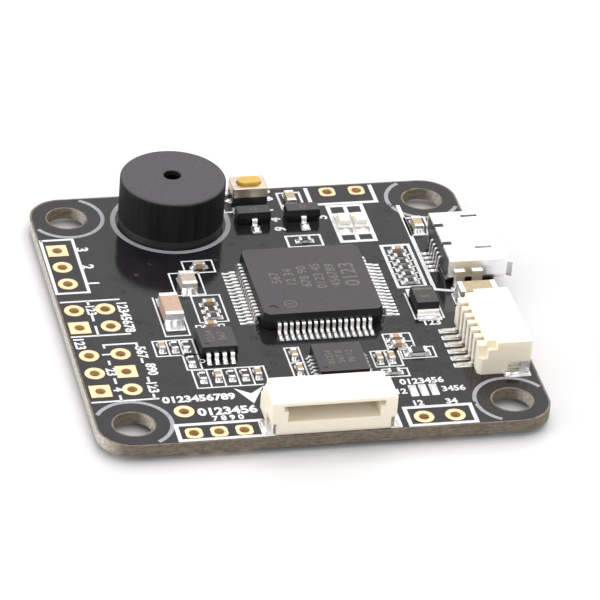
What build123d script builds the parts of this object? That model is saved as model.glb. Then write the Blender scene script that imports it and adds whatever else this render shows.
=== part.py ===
"""Flight controller board for a small multirotor, in millimetres.

The origin is the centre of the four mounting holes on the board's top face.
+X points to the USB connector's side, +Y to the buzzer's side, +Z out of the top face.
"""
from build123d import *
import os

os.makedirs("parts", exist_ok=True)

# ---------------------------------------------------------------- board
board_width = 36.5
board_thickness = 1.0
board_corner_radius = 2.8
mount_spacing = 30.5
mount_hole_diameter = 3.2
under = -board_thickness            # height of the board's underside

# plated header holes, all on a 2.54 mm grid except the 2.0 mm row
header_pitch = 2.54
small_pitch = 2.0
pad_diameter = 1.62
pad_square = 1.68
small_pad, small_pad_corner = 1.36, 0.4
plated_hole_radius = 0.42
barrel_wall = 0.05
pad_lift = 0.05                     # copper and plating above the board's face

left_row = [(-16.87, 5.17 + i * header_pitch) for i in range(3)]
upper_block = [(-17.06 + i * header_pitch, -1.37 + j * header_pitch) for i in (0, 1) for j in (0, 1)]
lower_block = [(-17.02 + i * header_pitch, -10.52 + j * header_pitch) for i in (0, 1) for j in (0, 1, 2)]
front_row = [(-10.82 + i * small_pitch, -17.04) for i in range(3)]
front_single = [(-11.02, -14.02)]
front_pair = [(7.64 + i * header_pitch, -16.87) for i in range(2)]
back_pair = [(7.45 + i * header_pitch, 17.1) for i in range(2)]
square_pads = [left_row[2], upper_block[0], lower_block[0], lower_block[4]]
round_pads = [
    p for p in left_row + upper_block + lower_block + front_single + front_pair if p not in square_pads
]
small_pads = front_row + back_pair  # rounded squares of the tighter rows
all_holes = square_pads + round_pads + small_pads

# tinned jumper bars
jumper_x = (7.67, 8.5, 9.35)
jumper_y = -13.2
jumper_width = 0.62
jumper_length = 1.6
jumper_corner = 0.08

# ---------------------------------------------------------------- buzzer
buzzer_x, buzzer_y = -6.7, 13.8
buzzer_radius = 4.4
buzzer_height = 4.35
buzzer_rounding = 0.22
buzzer_wall = 0.45
buzzer_base_height = 0.7
sound_hole_radius = 0.72
sound_hole_shift = 0.4              # the hole is off centre, towards +Y
buzzer_pin_spacing = 5.0
buzzer_pin_radius = 0.25
solder_cone_radius, solder_cone_slope = 0.75, 38
diaphragm_radius = 3.85
diaphragm_height = 3.1              # height of the diaphragm's lower face
diaphragm_thickness = 0.12
diaphragm_clearance = 0.15

# ---------------------------------------------------------------- chips
processor_x, processor_y = 2.55, 1.6
processor_size = 10.0
processor_top = 1.5
processor_lead_pitch = 0.5
processor_leads_per_side = 16
processor_span = 12.0               # lead tip to lead tip
processor_corner = 0.45
processor_taper = 8
pin_mark_inset, pin_mark_radius, pin_mark_depth = 1.0, 0.4, 0.05

motion_x, motion_y = 2.6, -9.0
motion_size = 4.0
motion_height = 0.9
motion_pitch = 0.5
motion_terminals_per_side = 6
motion_terminal = (0.3, 0.26, 0.22)
motion_stand_off = 0.05
small_mark_inset, small_mark_radius, small_mark_depth = 0.5, 0.2, 0.04

regulator_x, regulator_y = -6.7, -5.25
regulator_size = 3.0
regulator_top = 1.0
regulator_pitch = 0.65
regulator_leads_per_side = 4
regulator_span = 4.75

transistor_spots = [(0.2, 13.35), (4.4, 13.35)]
transistor_body = (2.9, 1.3, 1.1)
transistor_span = 2.4
transistor_pitch = 0.95

diode_x, diode_y = 11.5, -0.95
diode_body_size = (1.95, 2.6, 1.05)
diode_span = 3.7
diode_lead_width = 1.8

# ---------------------------------------------------------------- button
button_x, button_y = 0.55, 17.05
button_size = (3.0, 2.1)
button_base_height = 0.6
button_cover_top = 1.45
button_wall = 0.2
plunger_length, plunger_width = 2.0, 1.15
plunger_top = 1.75
plunger_flange = 0.2
plunger_clearance = 0.06
button_travel = 0.2
button_corner = 0.15
button_lead_size = (0.35, 0.45, 0.16)
button_lead_spread = 0.6
dome_height = 0.28

# ---------------------------------------------------------------- USB connector
usb_y = 5.3
usb_rear_x, usb_front_x = 14.1, 19.4
usb_width, usb_height = 7.5, 2.6
usb_wall = 0.25
usb_contact_pitch = 0.65
usb_contacts_count = 5
usb_foot_x = 13.2
spring_slot_spread = 2.45           # from the middle of the pair
spring_slot_shift = 0.35            # the pair is off the connector's middle line
spring_slot_size = (1.4, 0.3)
spring_slot_back = 2.1              # from the mouth to the slots' middle
roof_notch_spread = 1.4
roof_notch_shift = 0.15
roof_notch_size = (1.5, 0.5)
usb_leg_width, usb_leg_height, usb_leg_foot, usb_leg_sheet = 0.9, 1.5, 0.7, 0.3
front_leg_back, rear_leg_in = 2.9, 0.9   # from the mouth, and from the rear
usb_corner_slant, usb_corner_radius = 0.75, 0.3

# ---------------------------------------------------------------- wire-to-board connectors
pin_pitch = 1.0
housing_depth = 4.25
housing_height = 2.95
housing_side = 1.5                  # housing beyond the outermost contact
mouth_low, mouth_high = 1.2, 2.65
mouth_depth = 3.3
rear_roof, rear_depth = 2.5, 0.6     # the roof is lower over the contacts' slots
end_step_depth, end_step_inset = 0.7, 0.45
end_steps = (1.5, 2.3)              # heights of the two steps at each end, from the back
contact_thickness, contact_width = 0.16, 0.38
slot_width = 0.48
blade_height, riser_inset = 2.2, 0.14
tab_length, tab_height, tab_inset = 1.8, 1.05, 0.4
eight_pin_place = Location((0.05, -18.05, 0), (0, 0, 0))
six_pin_place = Location((17.6, -7.55, 0), (0, 0, 90))

# ---------------------------------------------------------------- small passive parts
# each entry: x, y, turned through a right angle or not
chip_length, chip_width, chip_height, chip_end = 1.0, 0.5, 0.5, 0.25
small_capacitor_spots = [
    (-5.75, 6.55, False), (-6.05, 0.9, False), (-6.55, -2.3, False), (-11.1, -5.05, True),
    (-7.45, -9.6, True), (-4.2, -9.6, True), (-0.75, -7.3, True), (-0.75, -9.4, True),
    (7.95, -5.85, False), (7.95, -6.75, False), (5.95, -8.5, True), (6.95, -8.5, True),
    (11.2, 7.2, False),
]
resistor_height = 0.36
resistor_spots = [
    (-6.05, -0.1, False), (-6.05, -1.05, False), (-10.05, -5.05, True), (-9.1, -5.05, True),
    (-9.1, -7.25, True), (-8.65, -9.6, True), (-6.35, -9.6, True), (-5.25, -9.6, True),
    (6.7, -10.5, False), (3.85, 9.6, False),
    (11.2, 6.25, False), (11.2, 5.3, False), (11.2, 4.35, False), (11.2, 3.4, False), (11.2, 2.45, False),
]
sense_resistor = (9.25, -7.95)
sense_resistor_size = (1.6, 0.8, 0.45)

large_capacitor = (-9.4, -0.2)
large_capacitor_size = (1.5, 3.2, 1.15)
medium_capacitor = (-7.25, 3.75)
medium_capacitor_size = (1.25, 2.0, 1.0)
input_capacitor = (16.1, -0.4)
input_capacitor_size = (3.2, 1.6, 1.2)
bypass_capacitors = [(13.75, 10.75), (3.95, 15.9)]
bypass_capacitor_size = (0.8, 1.6, 0.7)

lamp_spots = [(7.65, 11.9), (9.1, 11.9)]
lamp_base_size = (1.2, 2.0, 0.4)
lamp_end = 0.4
lamp_lens_size = (0.95, 1.3, 0.4)

# ---------------------------------------------------------------- underside
under_height = 0.5                  # every part below stands this far out
crystal_x, crystal_y = 5.2, 4.6
crystal_size = (3.2, 2.5)
memory_x, memory_y = -6.0, -4.0
memory_size = (4.0, 3.0)
memory_terminals_per_side = 4
memory_pitch = 0.64
memory_terminal = (0.24, 0.3, 0.2)
under_capacitor_spots = [
    (-12.8, 9.2, True), (12.8, 9.4, True), (-12.6, -11.6, False), (12.6, -11.8, False),
    (2.2, -6.0, False), (3.8, -6.0, False), (8.4, 4.6, True), (9.4, 4.6, True), (0.6, 9.6, False),
]
under_resistor_spots = [
    (-1.2, 3.2, True), (-0.2, 3.2, True), (-6.6, 3.4, False), (6.8, -10.6, False), (10.6, -2.2, True),
]


def box_at(x, y, z, size, mode=Mode.ADD):
    """Add or cut a plain block of the given size, standing on height z."""
    with Locations((x, y, z)):
        Box(*size, align=(Align.CENTER, Align.CENTER, Align.MIN), mode=mode)


def bent_lead(outward, rise, foot_end, foot_length, thickness, width, bend=0.12):
    """One gull-wing lead in the XZ plane: out of the body, down, and out along the board."""
    heel = foot_end - foot_length
    low = thickness / 2
    with BuildPart() as lead:
        with BuildLine(Plane.XZ) as centre:
            FilletPolyline((outward, rise), (heel - 0.1, rise), (heel, low), (foot_end, low), radius=bend)
        with BuildSketch(Plane(centre.line @ 0, x_dir=(0, 1, 0), z_dir=centre.line % 0)):
            Rectangle(width, thickness)
        sweep()
    return lead.part


def ends_of(size, cap, along_y):
    """The two metal ends of a chip part, wrapped round a body of that size at the origin."""
    length = size[1] if along_y else size[0]
    spread = length - cap
    with BuildPart() as both:
        with BuildSketch():
            if along_y:
                with GridLocations(1, spread, 1, 2):
                    Rectangle(size[0], cap)
            else:
                with GridLocations(spread, 1, 2, 1):
                    Rectangle(cap, size[1])
        extrude(amount=size[2])
        fillet(both.edges().filter_by(GeomType.LINE), radius=min(0.05, size[2] / 8))
    return both.part


def core_of(size, cap, along_y):
    """The ceramic between the two metal ends, a little slimmer than they are."""
    slim = 0.04
    with BuildPart() as core:
        with BuildSketch(Plane.XY.offset(slim / 2)):
            if along_y:
                Rectangle(size[0] - slim, size[1] - 2 * cap)
            else:
                Rectangle(size[0] - 2 * cap, size[1] - slim)
        extrude(amount=size[2] - slim)
    return core.part


def moulded_body(length, width, low, high, parting, slope=7):
    """A moulded chip body: two tapered halves that meet at the parting line."""
    with BuildPart() as body:
        with BuildSketch(Plane.XY.offset(parting)):
            Rectangle(length, width)
        extrude(amount=high - parting, taper=slope)
        with BuildSketch(Plane.XY.offset(parting)):
            Rectangle(length, width)
        extrude(amount=low - parting, taper=slope)
    return body.part


def turned(spots, z=0.0, flip=False):
    """Places for chip parts: a quarter turn where the entry says so, upside down underneath."""
    return [Location((x, y, z), (180 if flip else 0, 0, 90 if quarter else 0)) for x, y, quarter in spots]


# ================================================================ circuit board
with BuildPart() as circuit_board:
    with BuildSketch(Plane.XY.offset(under)):
        RectangleRounded(board_width, board_width, board_corner_radius)
        with GridLocations(mount_spacing, mount_spacing, 2, 2):
            Circle(mount_hole_diameter / 2, mode=Mode.SUBTRACT)
        with Locations(*all_holes):
            Circle(plated_hole_radius + barrel_wall, mode=Mode.SUBTRACT)
        with Locations((buzzer_x, buzzer_y)):
            with GridLocations(buzzer_pin_spacing, 1, 2, 1):
                Circle(buzzer_pin_radius, mode=Mode.SUBTRACT)
    extrude(amount=board_thickness)
circuit_board.part.label = "circuit_board"
export_step(circuit_board.part, "parts/circuit_board.step")

# plated barrels with a pad on each face
with BuildPart() as plated_holes:
    for face, direction in ((0.0, 1), (under, -1)):
        with BuildSketch(Plane.XY.offset(face)):
            with Locations(*round_pads):
                Circle(pad_diameter / 2)
            with Locations(*square_pads):
                Rectangle(pad_square, pad_square)
            with Locations(*small_pads):
                RectangleRounded(small_pad, small_pad, small_pad_corner)
        extrude(amount=direction * pad_lift)
    with BuildSketch(Plane.XY.offset(under)):
        with Locations(*all_holes):
            Circle(plated_hole_radius + barrel_wall)
    extrude(amount=board_thickness)
    with BuildSketch(Plane.XY.offset(under - pad_lift)):
        with Locations(*all_holes):
            Circle(plated_hole_radius)
    extrude(amount=board_thickness + 2 * pad_lift, mode=Mode.SUBTRACT)
plated_holes.part.label = "plated_holes"
export_step(plated_holes.part, "parts/plated_holes.step")

with BuildPart() as jumper_pads:
    with BuildSketch():
        with Locations(*[(x, jumper_y) for x in jumper_x]):
            Rectangle(jumper_width, jumper_length)
    extrude(amount=pad_lift)
    fillet(jumper_pads.edges().filter_by(Axis.Z), radius=jumper_corner)
jumper_pads.part.label = "jumper_pads"
export_step(jumper_pads.part, "parts/jumper_pads.step")

# ================================================================ buzzer
buzzer_plane = Plane((buzzer_x, buzzer_y, 0))

with BuildPart() as buzzer_case:
    with BuildSketch(buzzer_plane.offset(buzzer_base_height)):
        Circle(buzzer_radius)
    extrude(amount=buzzer_height - buzzer_base_height)
    fillet(buzzer_case.edges().group_by(Axis.Z)[-1], radius=buzzer_rounding)
    with BuildSketch(buzzer_plane.offset(buzzer_base_height)):
        Circle(buzzer_radius - buzzer_wall)
    extrude(amount=buzzer_height - buzzer_base_height - buzzer_wall, mode=Mode.SUBTRACT)
    with BuildSketch(buzzer_plane.offset(buzzer_height - 2 * buzzer_wall)):
        with Locations((0, sound_hole_shift)):
            Circle(sound_hole_radius)
    extrude(amount=3 * buzzer_wall, mode=Mode.SUBTRACT)
    chamfer(buzzer_case.edges().group_by(Axis.Z)[-1].filter_by(GeomType.CIRCLE).sort_by(SortBy.LENGTH)[0],
            length=0.06)
buzzer_case.part.label = "buzzer_case"
export_step(buzzer_case.part, "parts/buzzer_case.step")

with BuildPart() as buzzer_base:
    with BuildSketch(buzzer_plane):
        Circle(buzzer_radius - 0.08)
        with GridLocations(buzzer_pin_spacing, 1, 2, 1):
            Circle(buzzer_pin_radius, mode=Mode.SUBTRACT)
    extrude(amount=buzzer_base_height)
buzzer_base.part.label = "buzzer_base"
export_step(buzzer_base.part, "parts/buzzer_base.step")

magnet_outer, magnet_inner, magnet_height = 3.7, 2.7, 1.2
coil_radius, coil_height = 2.0, 1.6
armature_radius, armature_height = 1.4, 0.2
rim_width = 0.4                     # of the diaphragm's seat, inside the magnet's edge
with BuildPart() as buzzer_magnet:
    with BuildSketch(buzzer_plane.offset(buzzer_base_height)):
        Circle(magnet_outer)
        Circle(magnet_inner, mode=Mode.SUBTRACT)
    extrude(amount=magnet_height)
buzzer_magnet.part.label = "buzzer_magnet"
export_step(buzzer_magnet.part, "parts/buzzer_magnet.step")

core_radius, core_plate, core_top = 0.8, 0.25, 2.85
with BuildPart() as buzzer_core:
    with BuildSketch(buzzer_plane.offset(buzzer_base_height)):
        Circle(magnet_inner - 0.05)
    extrude(amount=core_plate)
    with BuildSketch(buzzer_plane.offset(buzzer_base_height + core_plate)):
        Circle(core_radius)
    extrude(amount=core_top - buzzer_base_height - core_plate)
buzzer_core.part.label = "buzzer_core"
export_step(buzzer_core.part, "parts/buzzer_core.step")

with BuildPart() as buzzer_coil:
    with BuildSketch(buzzer_plane.offset(buzzer_base_height + core_plate)):
        Circle(coil_radius)
        Circle(core_radius, mode=Mode.SUBTRACT)
    extrude(amount=coil_height)
buzzer_coil.part.label = "buzzer_coil"
export_step(buzzer_coil.part, "parts/buzzer_coil.step")

# the ring that the diaphragm's rim rests in
with BuildPart() as buzzer_spacer:
    with BuildSketch(buzzer_plane.offset(buzzer_base_height + magnet_height)):
        Circle(buzzer_radius - buzzer_wall)
        Circle(magnet_outer - rim_width, mode=Mode.SUBTRACT)
    extrude(amount=diaphragm_height - diaphragm_clearance - buzzer_base_height - magnet_height)
buzzer_spacer.part.label = "buzzer_spacer"
export_step(buzzer_spacer.part, "parts/buzzer_spacer.step")

with BuildPart() as buzzer_diaphragm:
    with BuildSketch(buzzer_plane.offset(diaphragm_height)):
        Circle(diaphragm_radius)
    extrude(amount=diaphragm_thickness)
    with BuildSketch(buzzer_plane.offset(diaphragm_height + diaphragm_thickness)):
        Circle(armature_radius)
    extrude(amount=armature_height)
buzzer_diaphragm.part.label = "buzzer_diaphragm"
export_step(buzzer_diaphragm.part, "parts/buzzer_diaphragm.step")

# pins through the board with a solder cone under it
with BuildPart() as buzzer_pins:
    with BuildSketch(buzzer_plane.offset(under)):
        with GridLocations(buzzer_pin_spacing, 1, 2, 1):
            Circle(buzzer_pin_radius)
    extrude(amount=buzzer_base_height - under)
    with BuildSketch(buzzer_plane.offset(under)):
        with GridLocations(buzzer_pin_spacing, 1, 2, 1):
            Circle(solder_cone_radius)
    extrude(amount=-under_height, taper=solder_cone_slope)
buzzer_pins.part.label = "buzzer_pins"
export_step(buzzer_pins.part, "parts/buzzer_pins.step")

# ================================================================ processor
body_low, body_parting = 0.1, 0.78
with BuildPart() as processor_body:
    with BuildSketch(Plane((processor_x, processor_y, body_parting))) as outline:
        Rectangle(processor_size, processor_size)
        chamfer(outline.vertices(), length=processor_corner)
    extrude(amount=processor_top - body_parting, taper=processor_taper)
    with BuildSketch(Plane((processor_x, processor_y, body_parting))) as outline:
        Rectangle(processor_size, processor_size)
        chamfer(outline.vertices(), length=processor_corner)
    extrude(amount=body_low - body_parting, taper=processor_taper)
    mark_shift = processor_size / 2 - pin_mark_inset
    with BuildSketch(Plane((processor_x - mark_shift, processor_y - mark_shift, processor_top))):
        Circle(pin_mark_radius)
    extrude(amount=-pin_mark_depth, mode=Mode.SUBTRACT)
processor_body.part.label = "processor_body"
export_step(processor_body.part, "parts/processor_body.step")

processor_lead = bent_lead(processor_size / 2, body_parting, processor_span / 2, 0.55, 0.13, 0.26)
lead_row = (processor_leads_per_side - 1) / 2
with BuildPart() as processor_leads:
    for side in range(4):
        for i in range(processor_leads_per_side):
            along = (i - lead_row) * processor_lead_pitch
            turn = Location((processor_x, processor_y, 0), (0, 0, 90 * side))
            with Locations(turn * Location((0, along, 0))):
                add(processor_lead)
processor_leads.part.label = "processor_leads"
export_step(processor_leads.part, "parts/processor_leads.step")

# ================================================================ motion sensor
with BuildPart() as motion_sensor_body:
    with BuildSketch(Plane((motion_x, motion_y, motion_stand_off))):
        Rectangle(motion_size, motion_size)
    extrude(amount=motion_height - motion_stand_off)
    mark_shift = motion_size / 2 - small_mark_inset
    with BuildSketch(Plane((motion_x - mark_shift, motion_y - mark_shift, motion_height))):
        Circle(small_mark_radius)
    extrude(amount=-small_mark_depth, mode=Mode.SUBTRACT)
motion_sensor_body.part.label = "motion_sensor_body"
export_step(motion_sensor_body.part, "parts/motion_sensor_body.step")

with BuildPart() as motion_sensor_terminals:
    for side in range(4):
        place = Location((motion_x, motion_y, 0), (0, 0, 90 * side))
        for i in range(motion_terminals_per_side):
            along = (i - (motion_terminals_per_side - 1) / 2) * motion_pitch
            out = (motion_size + motion_terminal[0]) / 2
            with Locations(place * Location((out, along, motion_terminal[2] / 2))):
                Box(*motion_terminal)
motion_sensor_terminals.part.label = "motion_sensor_terminals"
export_step(motion_sensor_terminals.part, "parts/motion_sensor_terminals.step")

# ================================================================ regulator
with BuildPart() as regulator_body:
    with Locations((regulator_x, regulator_y, 0)):
        add(moulded_body(regulator_size, regulator_size, 0.1, regulator_top, 0.5))
    mark_shift = regulator_size / 2 - small_mark_inset
    with BuildSketch(Plane((regulator_x - mark_shift, regulator_y - mark_shift, regulator_top))):
        Circle(small_mark_radius)
    extrude(amount=-small_mark_depth, mode=Mode.SUBTRACT)
regulator_body.part.label = "regulator_body"
export_step(regulator_body.part, "parts/regulator_body.step")

regulator_lead = bent_lead(regulator_size / 2, 0.5, regulator_span / 2, 0.45, 0.15, 0.32)
with BuildPart() as regulator_leads:
    for side in (90, 270):
        place = Location((regulator_x, regulator_y, 0), (0, 0, side))
        for i in range(regulator_leads_per_side):
            along = (i - (regulator_leads_per_side - 1) / 2) * regulator_pitch
            with Locations(place * Location((0, along, 0))):
                add(regulator_lead)
regulator_leads.part.label = "regulator_leads"
export_step(regulator_leads.part, "parts/regulator_leads.step")

# ================================================================ transistors and diode
with BuildPart() as transistor_bodies:
    with Locations(*transistor_spots):
        add(moulded_body(transistor_body[0], transistor_body[1], 0.08, transistor_body[2], 0.55))
transistor_bodies.part.label = "transistor_bodies"
export_step(transistor_bodies.part, "parts/transistor_bodies.step")

transistor_lead = bent_lead(transistor_body[1] / 2, 0.55, transistor_span / 2 + 0.15, 0.4, 0.15, 0.42)
with BuildPart() as transistor_leads:
    for x, y in transistor_spots:
        with Locations(Location((x, y, 0), (0, 0, -90))):
            add(transistor_lead)
        for side in (-transistor_pitch, transistor_pitch):
            with Locations(Location((x + side, y, 0), (0, 0, 90))):
                add(transistor_lead)
transistor_leads.part.label = "transistor_leads"
export_step(transistor_leads.part, "parts/transistor_leads.step")

with BuildPart() as diode_body:
    with Locations((diode_x, diode_y, 0)):
        add(moulded_body(diode_body_size[0], diode_body_size[1], 0.08, diode_body_size[2], 0.45))
diode_body.part.label = "diode_body"
export_step(diode_body.part, "parts/diode_body.step")

diode_lead = bent_lead(diode_body_size[1] / 2, 0.4, diode_span / 2, 0.3, 0.12, diode_lead_width, bend=0.07)
with BuildPart() as diode_leads:
    for side in (90, 270):
        with Locations(Location((diode_x, diode_y, 0), (0, 0, side))):
            add(diode_lead)
diode_leads.part.label = "diode_leads"
export_step(diode_leads.part, "parts/diode_leads.step")

# ================================================================ boot button
button_plane = Plane((button_x, button_y, 0))

# an open-topped tray that holds the dome
tray_floor = 0.2
with BuildPart() as button_base:
    with BuildSketch(button_plane):
        RectangleRounded(button_size[0], button_size[1], button_corner)
    extrude(amount=button_base_height)
    with BuildSketch(button_plane.offset(tray_floor)):
        RectangleRounded(button_size[0] - 3 * button_wall, button_size[1] - 2.4 * button_wall, 0.4)
    extrude(amount=button_base_height, mode=Mode.SUBTRACT)
button_base.part.label = "button_base"
export_step(button_base.part, "parts/button_base.step")

with BuildPart() as button_cover:
    with BuildSketch(button_plane.offset(button_base_height)):
        RectangleRounded(button_size[0], button_size[1], button_corner)
    extrude(amount=button_cover_top - button_base_height)
    fillet(button_cover.edges().group_by(Axis.Z)[-1], radius=0.06)
    with BuildSketch(button_plane.offset(button_base_height)):
        RectangleRounded(button_size[0] - 2 * button_wall, button_size[1] - 2 * button_wall, 0.3)
    extrude(amount=button_cover_top - button_base_height - button_wall, mode=Mode.SUBTRACT)
    with BuildSketch(button_plane.offset(button_base_height)):
        SlotOverall(plunger_length + 2 * plunger_clearance, plunger_width + 2 * plunger_clearance)
    extrude(amount=button_cover_top, mode=Mode.SUBTRACT)
button_cover.part.label = "button_cover"
export_step(button_cover.part, "parts/button_cover.step")

# the plunger's flange stops under the cover, its foot stands just above the dome
flange_top = button_cover_top - button_wall - 0.02
plunger_foot = tray_floor + dome_height + 0.12 + button_travel
with BuildPart() as button_plunger:
    with BuildSketch(button_plane.offset(flange_top - plunger_flange)):
        SlotOverall(plunger_length + 0.4, plunger_width + 0.3)
    extrude(amount=plunger_flange)
    with BuildSketch(button_plane.offset(flange_top)):
        SlotOverall(plunger_length, plunger_width)
    extrude(amount=plunger_top - flange_top)
    fillet(button_plunger.edges().group_by(Axis.Z)[-1], radius=0.1)
    with BuildSketch(button_plane.offset(plunger_foot)):
        Circle(0.3)
    extrude(amount=flange_top - plunger_foot)
button_plunger.part.label = "button_plunger"
export_step(button_plunger.part, "parts/button_plunger.step")

# thin spring dome: the cap of a hollow ball, cut off at the tray's floor
dome_span = 0.65
dome_sheet = 0.06
dome_ball = (dome_span ** 2 + dome_height ** 2) / (2 * dome_height)
with BuildPart() as button_dome:
    with Locations((button_x, button_y, tray_floor + dome_height - dome_ball)):
        Sphere(dome_ball)
        Sphere(dome_ball - dome_sheet, mode=Mode.SUBTRACT)
    split(bisect_by=Plane.XY.offset(tray_floor), keep=Keep.TOP)
button_dome.part.label = "button_dome"
export_step(button_dome.part, "parts/button_dome.step")

with BuildPart() as button_leads:
    for side in (-1, 1):
        for shift in (-button_lead_spread, button_lead_spread):
            box_at(button_x + side * (button_size[0] + button_lead_size[0]) / 2, button_y + shift, 0,
                   button_lead_size)
button_leads.part.label = "button_leads"
export_step(button_leads.part, "parts/button_leads.step")

# ================================================================ USB connector
usb_length = usb_front_x - usb_rear_x
usb_lift = 0.1                      # the shell stands this far above the board
usb_rear = Plane((usb_rear_x, usb_y, 0), x_dir=(0, 1, 0), z_dir=(1, 0, 0))
flare_length, flare_out = 0.4, 0.22


def usb_outline(inset, along=0.0):
    """Socket outline seen from the mouth: flat top, lower corners cut at a slant."""
    half = usb_width / 2 - inset
    low = usb_lift + inset
    high = usb_height - inset
    slant = usb_corner_slant
    with BuildSketch(usb_rear.offset(along)) as shape:
        with BuildLine():
            Polyline((-half, high), (half, high), (half, low + slant), (half - slant, low),
                     (slant - half, low), (-half, low + slant), close=True)
        make_face()
        fillet(shape.vertices(), radius=usb_corner_radius)
    return shape.sketch


with BuildPart() as usb_shell:
    extrude(usb_outline(0), amount=usb_length - flare_length)
    loft([usb_outline(0, usb_length - flare_length), usb_outline(-flare_out, usb_length)])
    extrude(usb_outline(usb_wall), amount=usb_length - flare_length, mode=Mode.SUBTRACT)
    loft([usb_outline(usb_wall, usb_length - flare_length), usb_outline(usb_wall - flare_out, usb_length)],
         mode=Mode.SUBTRACT)
    # the flare is four separate lips
    for side in (-1, 1):
        for z in (0.35, usb_height):
            with Locations((usb_front_x, usb_y + side * (usb_width / 2 - 0.1), z)):
                Box(2 * flare_length, 1.1, 0.9, mode=Mode.SUBTRACT)
    # two spring slots and two rear notches in the roof
    roof_cut = 2 * usb_wall + 0.1
    for side in (-1, 1):
        slot_y = usb_y + spring_slot_shift + side * spring_slot_spread
        notch_y = usb_y + roof_notch_shift + side * roof_notch_spread
        with Locations((usb_front_x - spring_slot_back, slot_y, usb_height)):
            Box(*spring_slot_size, roof_cut, mode=Mode.SUBTRACT)
        with Locations((usb_rear_x, notch_y, usb_height)):
            Box(*roof_notch_size, roof_cut, mode=Mode.SUBTRACT)
    # four legs bent down to the board
    leg_x = (usb_front_x - front_leg_back, usb_rear_x + rear_leg_in)
    for side in (-1, 1):
        leg_y = usb_y + side * (usb_width / 2 + 0.1)
        foot_y = usb_y + side * usb_leg_foot / 2 + side * usb_width / 2
        with Locations(*[(x, leg_y, usb_leg_height / 2) for x in leg_x]):
            Box(usb_leg_width, usb_leg_sheet, usb_leg_height)
        with Locations(*[(x, foot_y, 0.1) for x in leg_x]):
            Box(usb_leg_width, usb_leg_foot, 0.2)
usb_shell.part.label = "usb_shell"
export_step(usb_shell.part, "parts/usb_shell.step")

tongue_bottom, tongue_thickness, tongue_width = 1.35, 0.6, 3.7
block_depth = 1.5
with BuildPart() as usb_tongue:
    extrude(usb_outline(usb_wall), amount=block_depth)
    with Locations((usb_rear_x + usb_length / 2, usb_y, tongue_bottom + tongue_thickness / 2)):
        Box(usb_length - 1.4, tongue_width, tongue_thickness)
    for i in range(usb_contacts_count):
        y = usb_y + (i - (usb_contacts_count - 1) / 2) * usb_contact_pitch
        with Locations((usb_rear_x + usb_length / 2 - 0.4, y, tongue_bottom)):
            Box(usb_length, 0.3, 0.2, mode=Mode.SUBTRACT)
usb_tongue.part.label = "usb_tongue"
export_step(usb_tongue.part, "parts/usb_tongue.step")

contact_sheet = 0.1
with BuildPart() as usb_contact:
    with BuildLine(Plane.XZ) as route:
        FilletPolyline((usb_front_x - 1.6, tongue_bottom), (usb_rear_x - 0.2, tongue_bottom),
                       (usb_rear_x - 0.3, contact_sheet / 2), (usb_foot_x, contact_sheet / 2), radius=0.12)
    with BuildSketch(Plane(route.line @ 0, x_dir=(0, 1, 0), z_dir=route.line % 0)):
        Rectangle(0.24, contact_sheet)
    sweep()
with BuildPart() as usb_contacts:
    for i in range(usb_contacts_count):
        with Locations((0, usb_y + (i - (usb_contacts_count - 1) / 2) * usb_contact_pitch, 0)):
            add(usb_contact.part)
usb_contacts.part.label = "usb_contacts"
export_step(usb_contacts.part, "parts/usb_contacts.step")


# ================================================================ wire-to-board connectors
def connector_housing(count):
    """Moulded housing with its mouth at y = 0 facing -Y and its back towards +Y."""
    span = (count - 1) * pin_pitch
    width = span + 2 * housing_side
    slots = [(i - (count - 1) / 2) * pin_pitch for i in range(count)]
    with BuildPart() as housing:
        with BuildSketch():
            with Locations((0, housing_depth / 2)):
                Rectangle(width, housing_depth)
        extrude(amount=housing_height)
        chamfer(housing.edges().filter_by(Axis.Z).group_by(Axis.Y)[-1], length=0.25)
        # mouth, with a keying step at each upper end
        with BuildSketch(Plane((0, 0, 0), x_dir=(1, 0, 0), z_dir=(0, -1, 0))):
            with Locations((0, (mouth_low + mouth_high) / 2)):
                Rectangle(span + 0.4, mouth_high - mouth_low)
            with Locations((0, mouth_high - 0.25)):
                Rectangle(span + 1.1, 0.5)
        extrude(amount=-mouth_depth, mode=Mode.SUBTRACT)
        # the roof's lower rear strip, and one open slot behind each contact
        box_at(0, housing_depth, rear_roof, (width, 2 * rear_depth, housing_height), Mode.SUBTRACT)
        for x in slots:
            box_at(x, housing_depth - 0.4, 0, (slot_width, 0.82, rear_roof + 0.1), Mode.SUBTRACT)
        with Locations(*[(x, mouth_depth, blade_height) for x in slots]):
            Box(contact_width, 0.4, contact_thickness, mode=Mode.SUBTRACT)
        for side in (-1, 1):
            # two steps down to the back
            for i, height in enumerate(end_steps):
                y = housing_depth - (i + 0.5) * end_step_depth
                cut = (2 * end_step_inset, end_step_depth, housing_height)
                box_at(side * width / 2, y, height, cut, Mode.SUBTRACT)
            # pocket for the solder tab near the mouth
            with Locations((side * width / 2, tab_length / 2, tab_height / 2)):
                Box(2 * tab_inset, tab_length, tab_height, mode=Mode.SUBTRACT)
    return housing.part


def connector_contacts(count):
    """Bent contacts: foot behind the housing, wide bend, riser in its slot, blade into the mouth."""
    foot = contact_thickness / 2
    riser = housing_depth - riser_inset
    with BuildPart() as contact:
        with BuildLine(Plane.YZ) as route:
            FilletPolyline((1.1, blade_height), (riser, blade_height), (riser, foot),
                           (housing_depth + 1.3, foot), radius=[0.14, 0.6])
        with BuildSketch(Plane(route.line @ 0, x_dir=(1, 0, 0), z_dir=route.line % 0)):
            Rectangle(contact_width, contact_thickness)
        sweep()
    with BuildPart() as contacts:
        with GridLocations(pin_pitch, 1, count, 1):
            add(contact.part)
    return contacts.part


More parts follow.
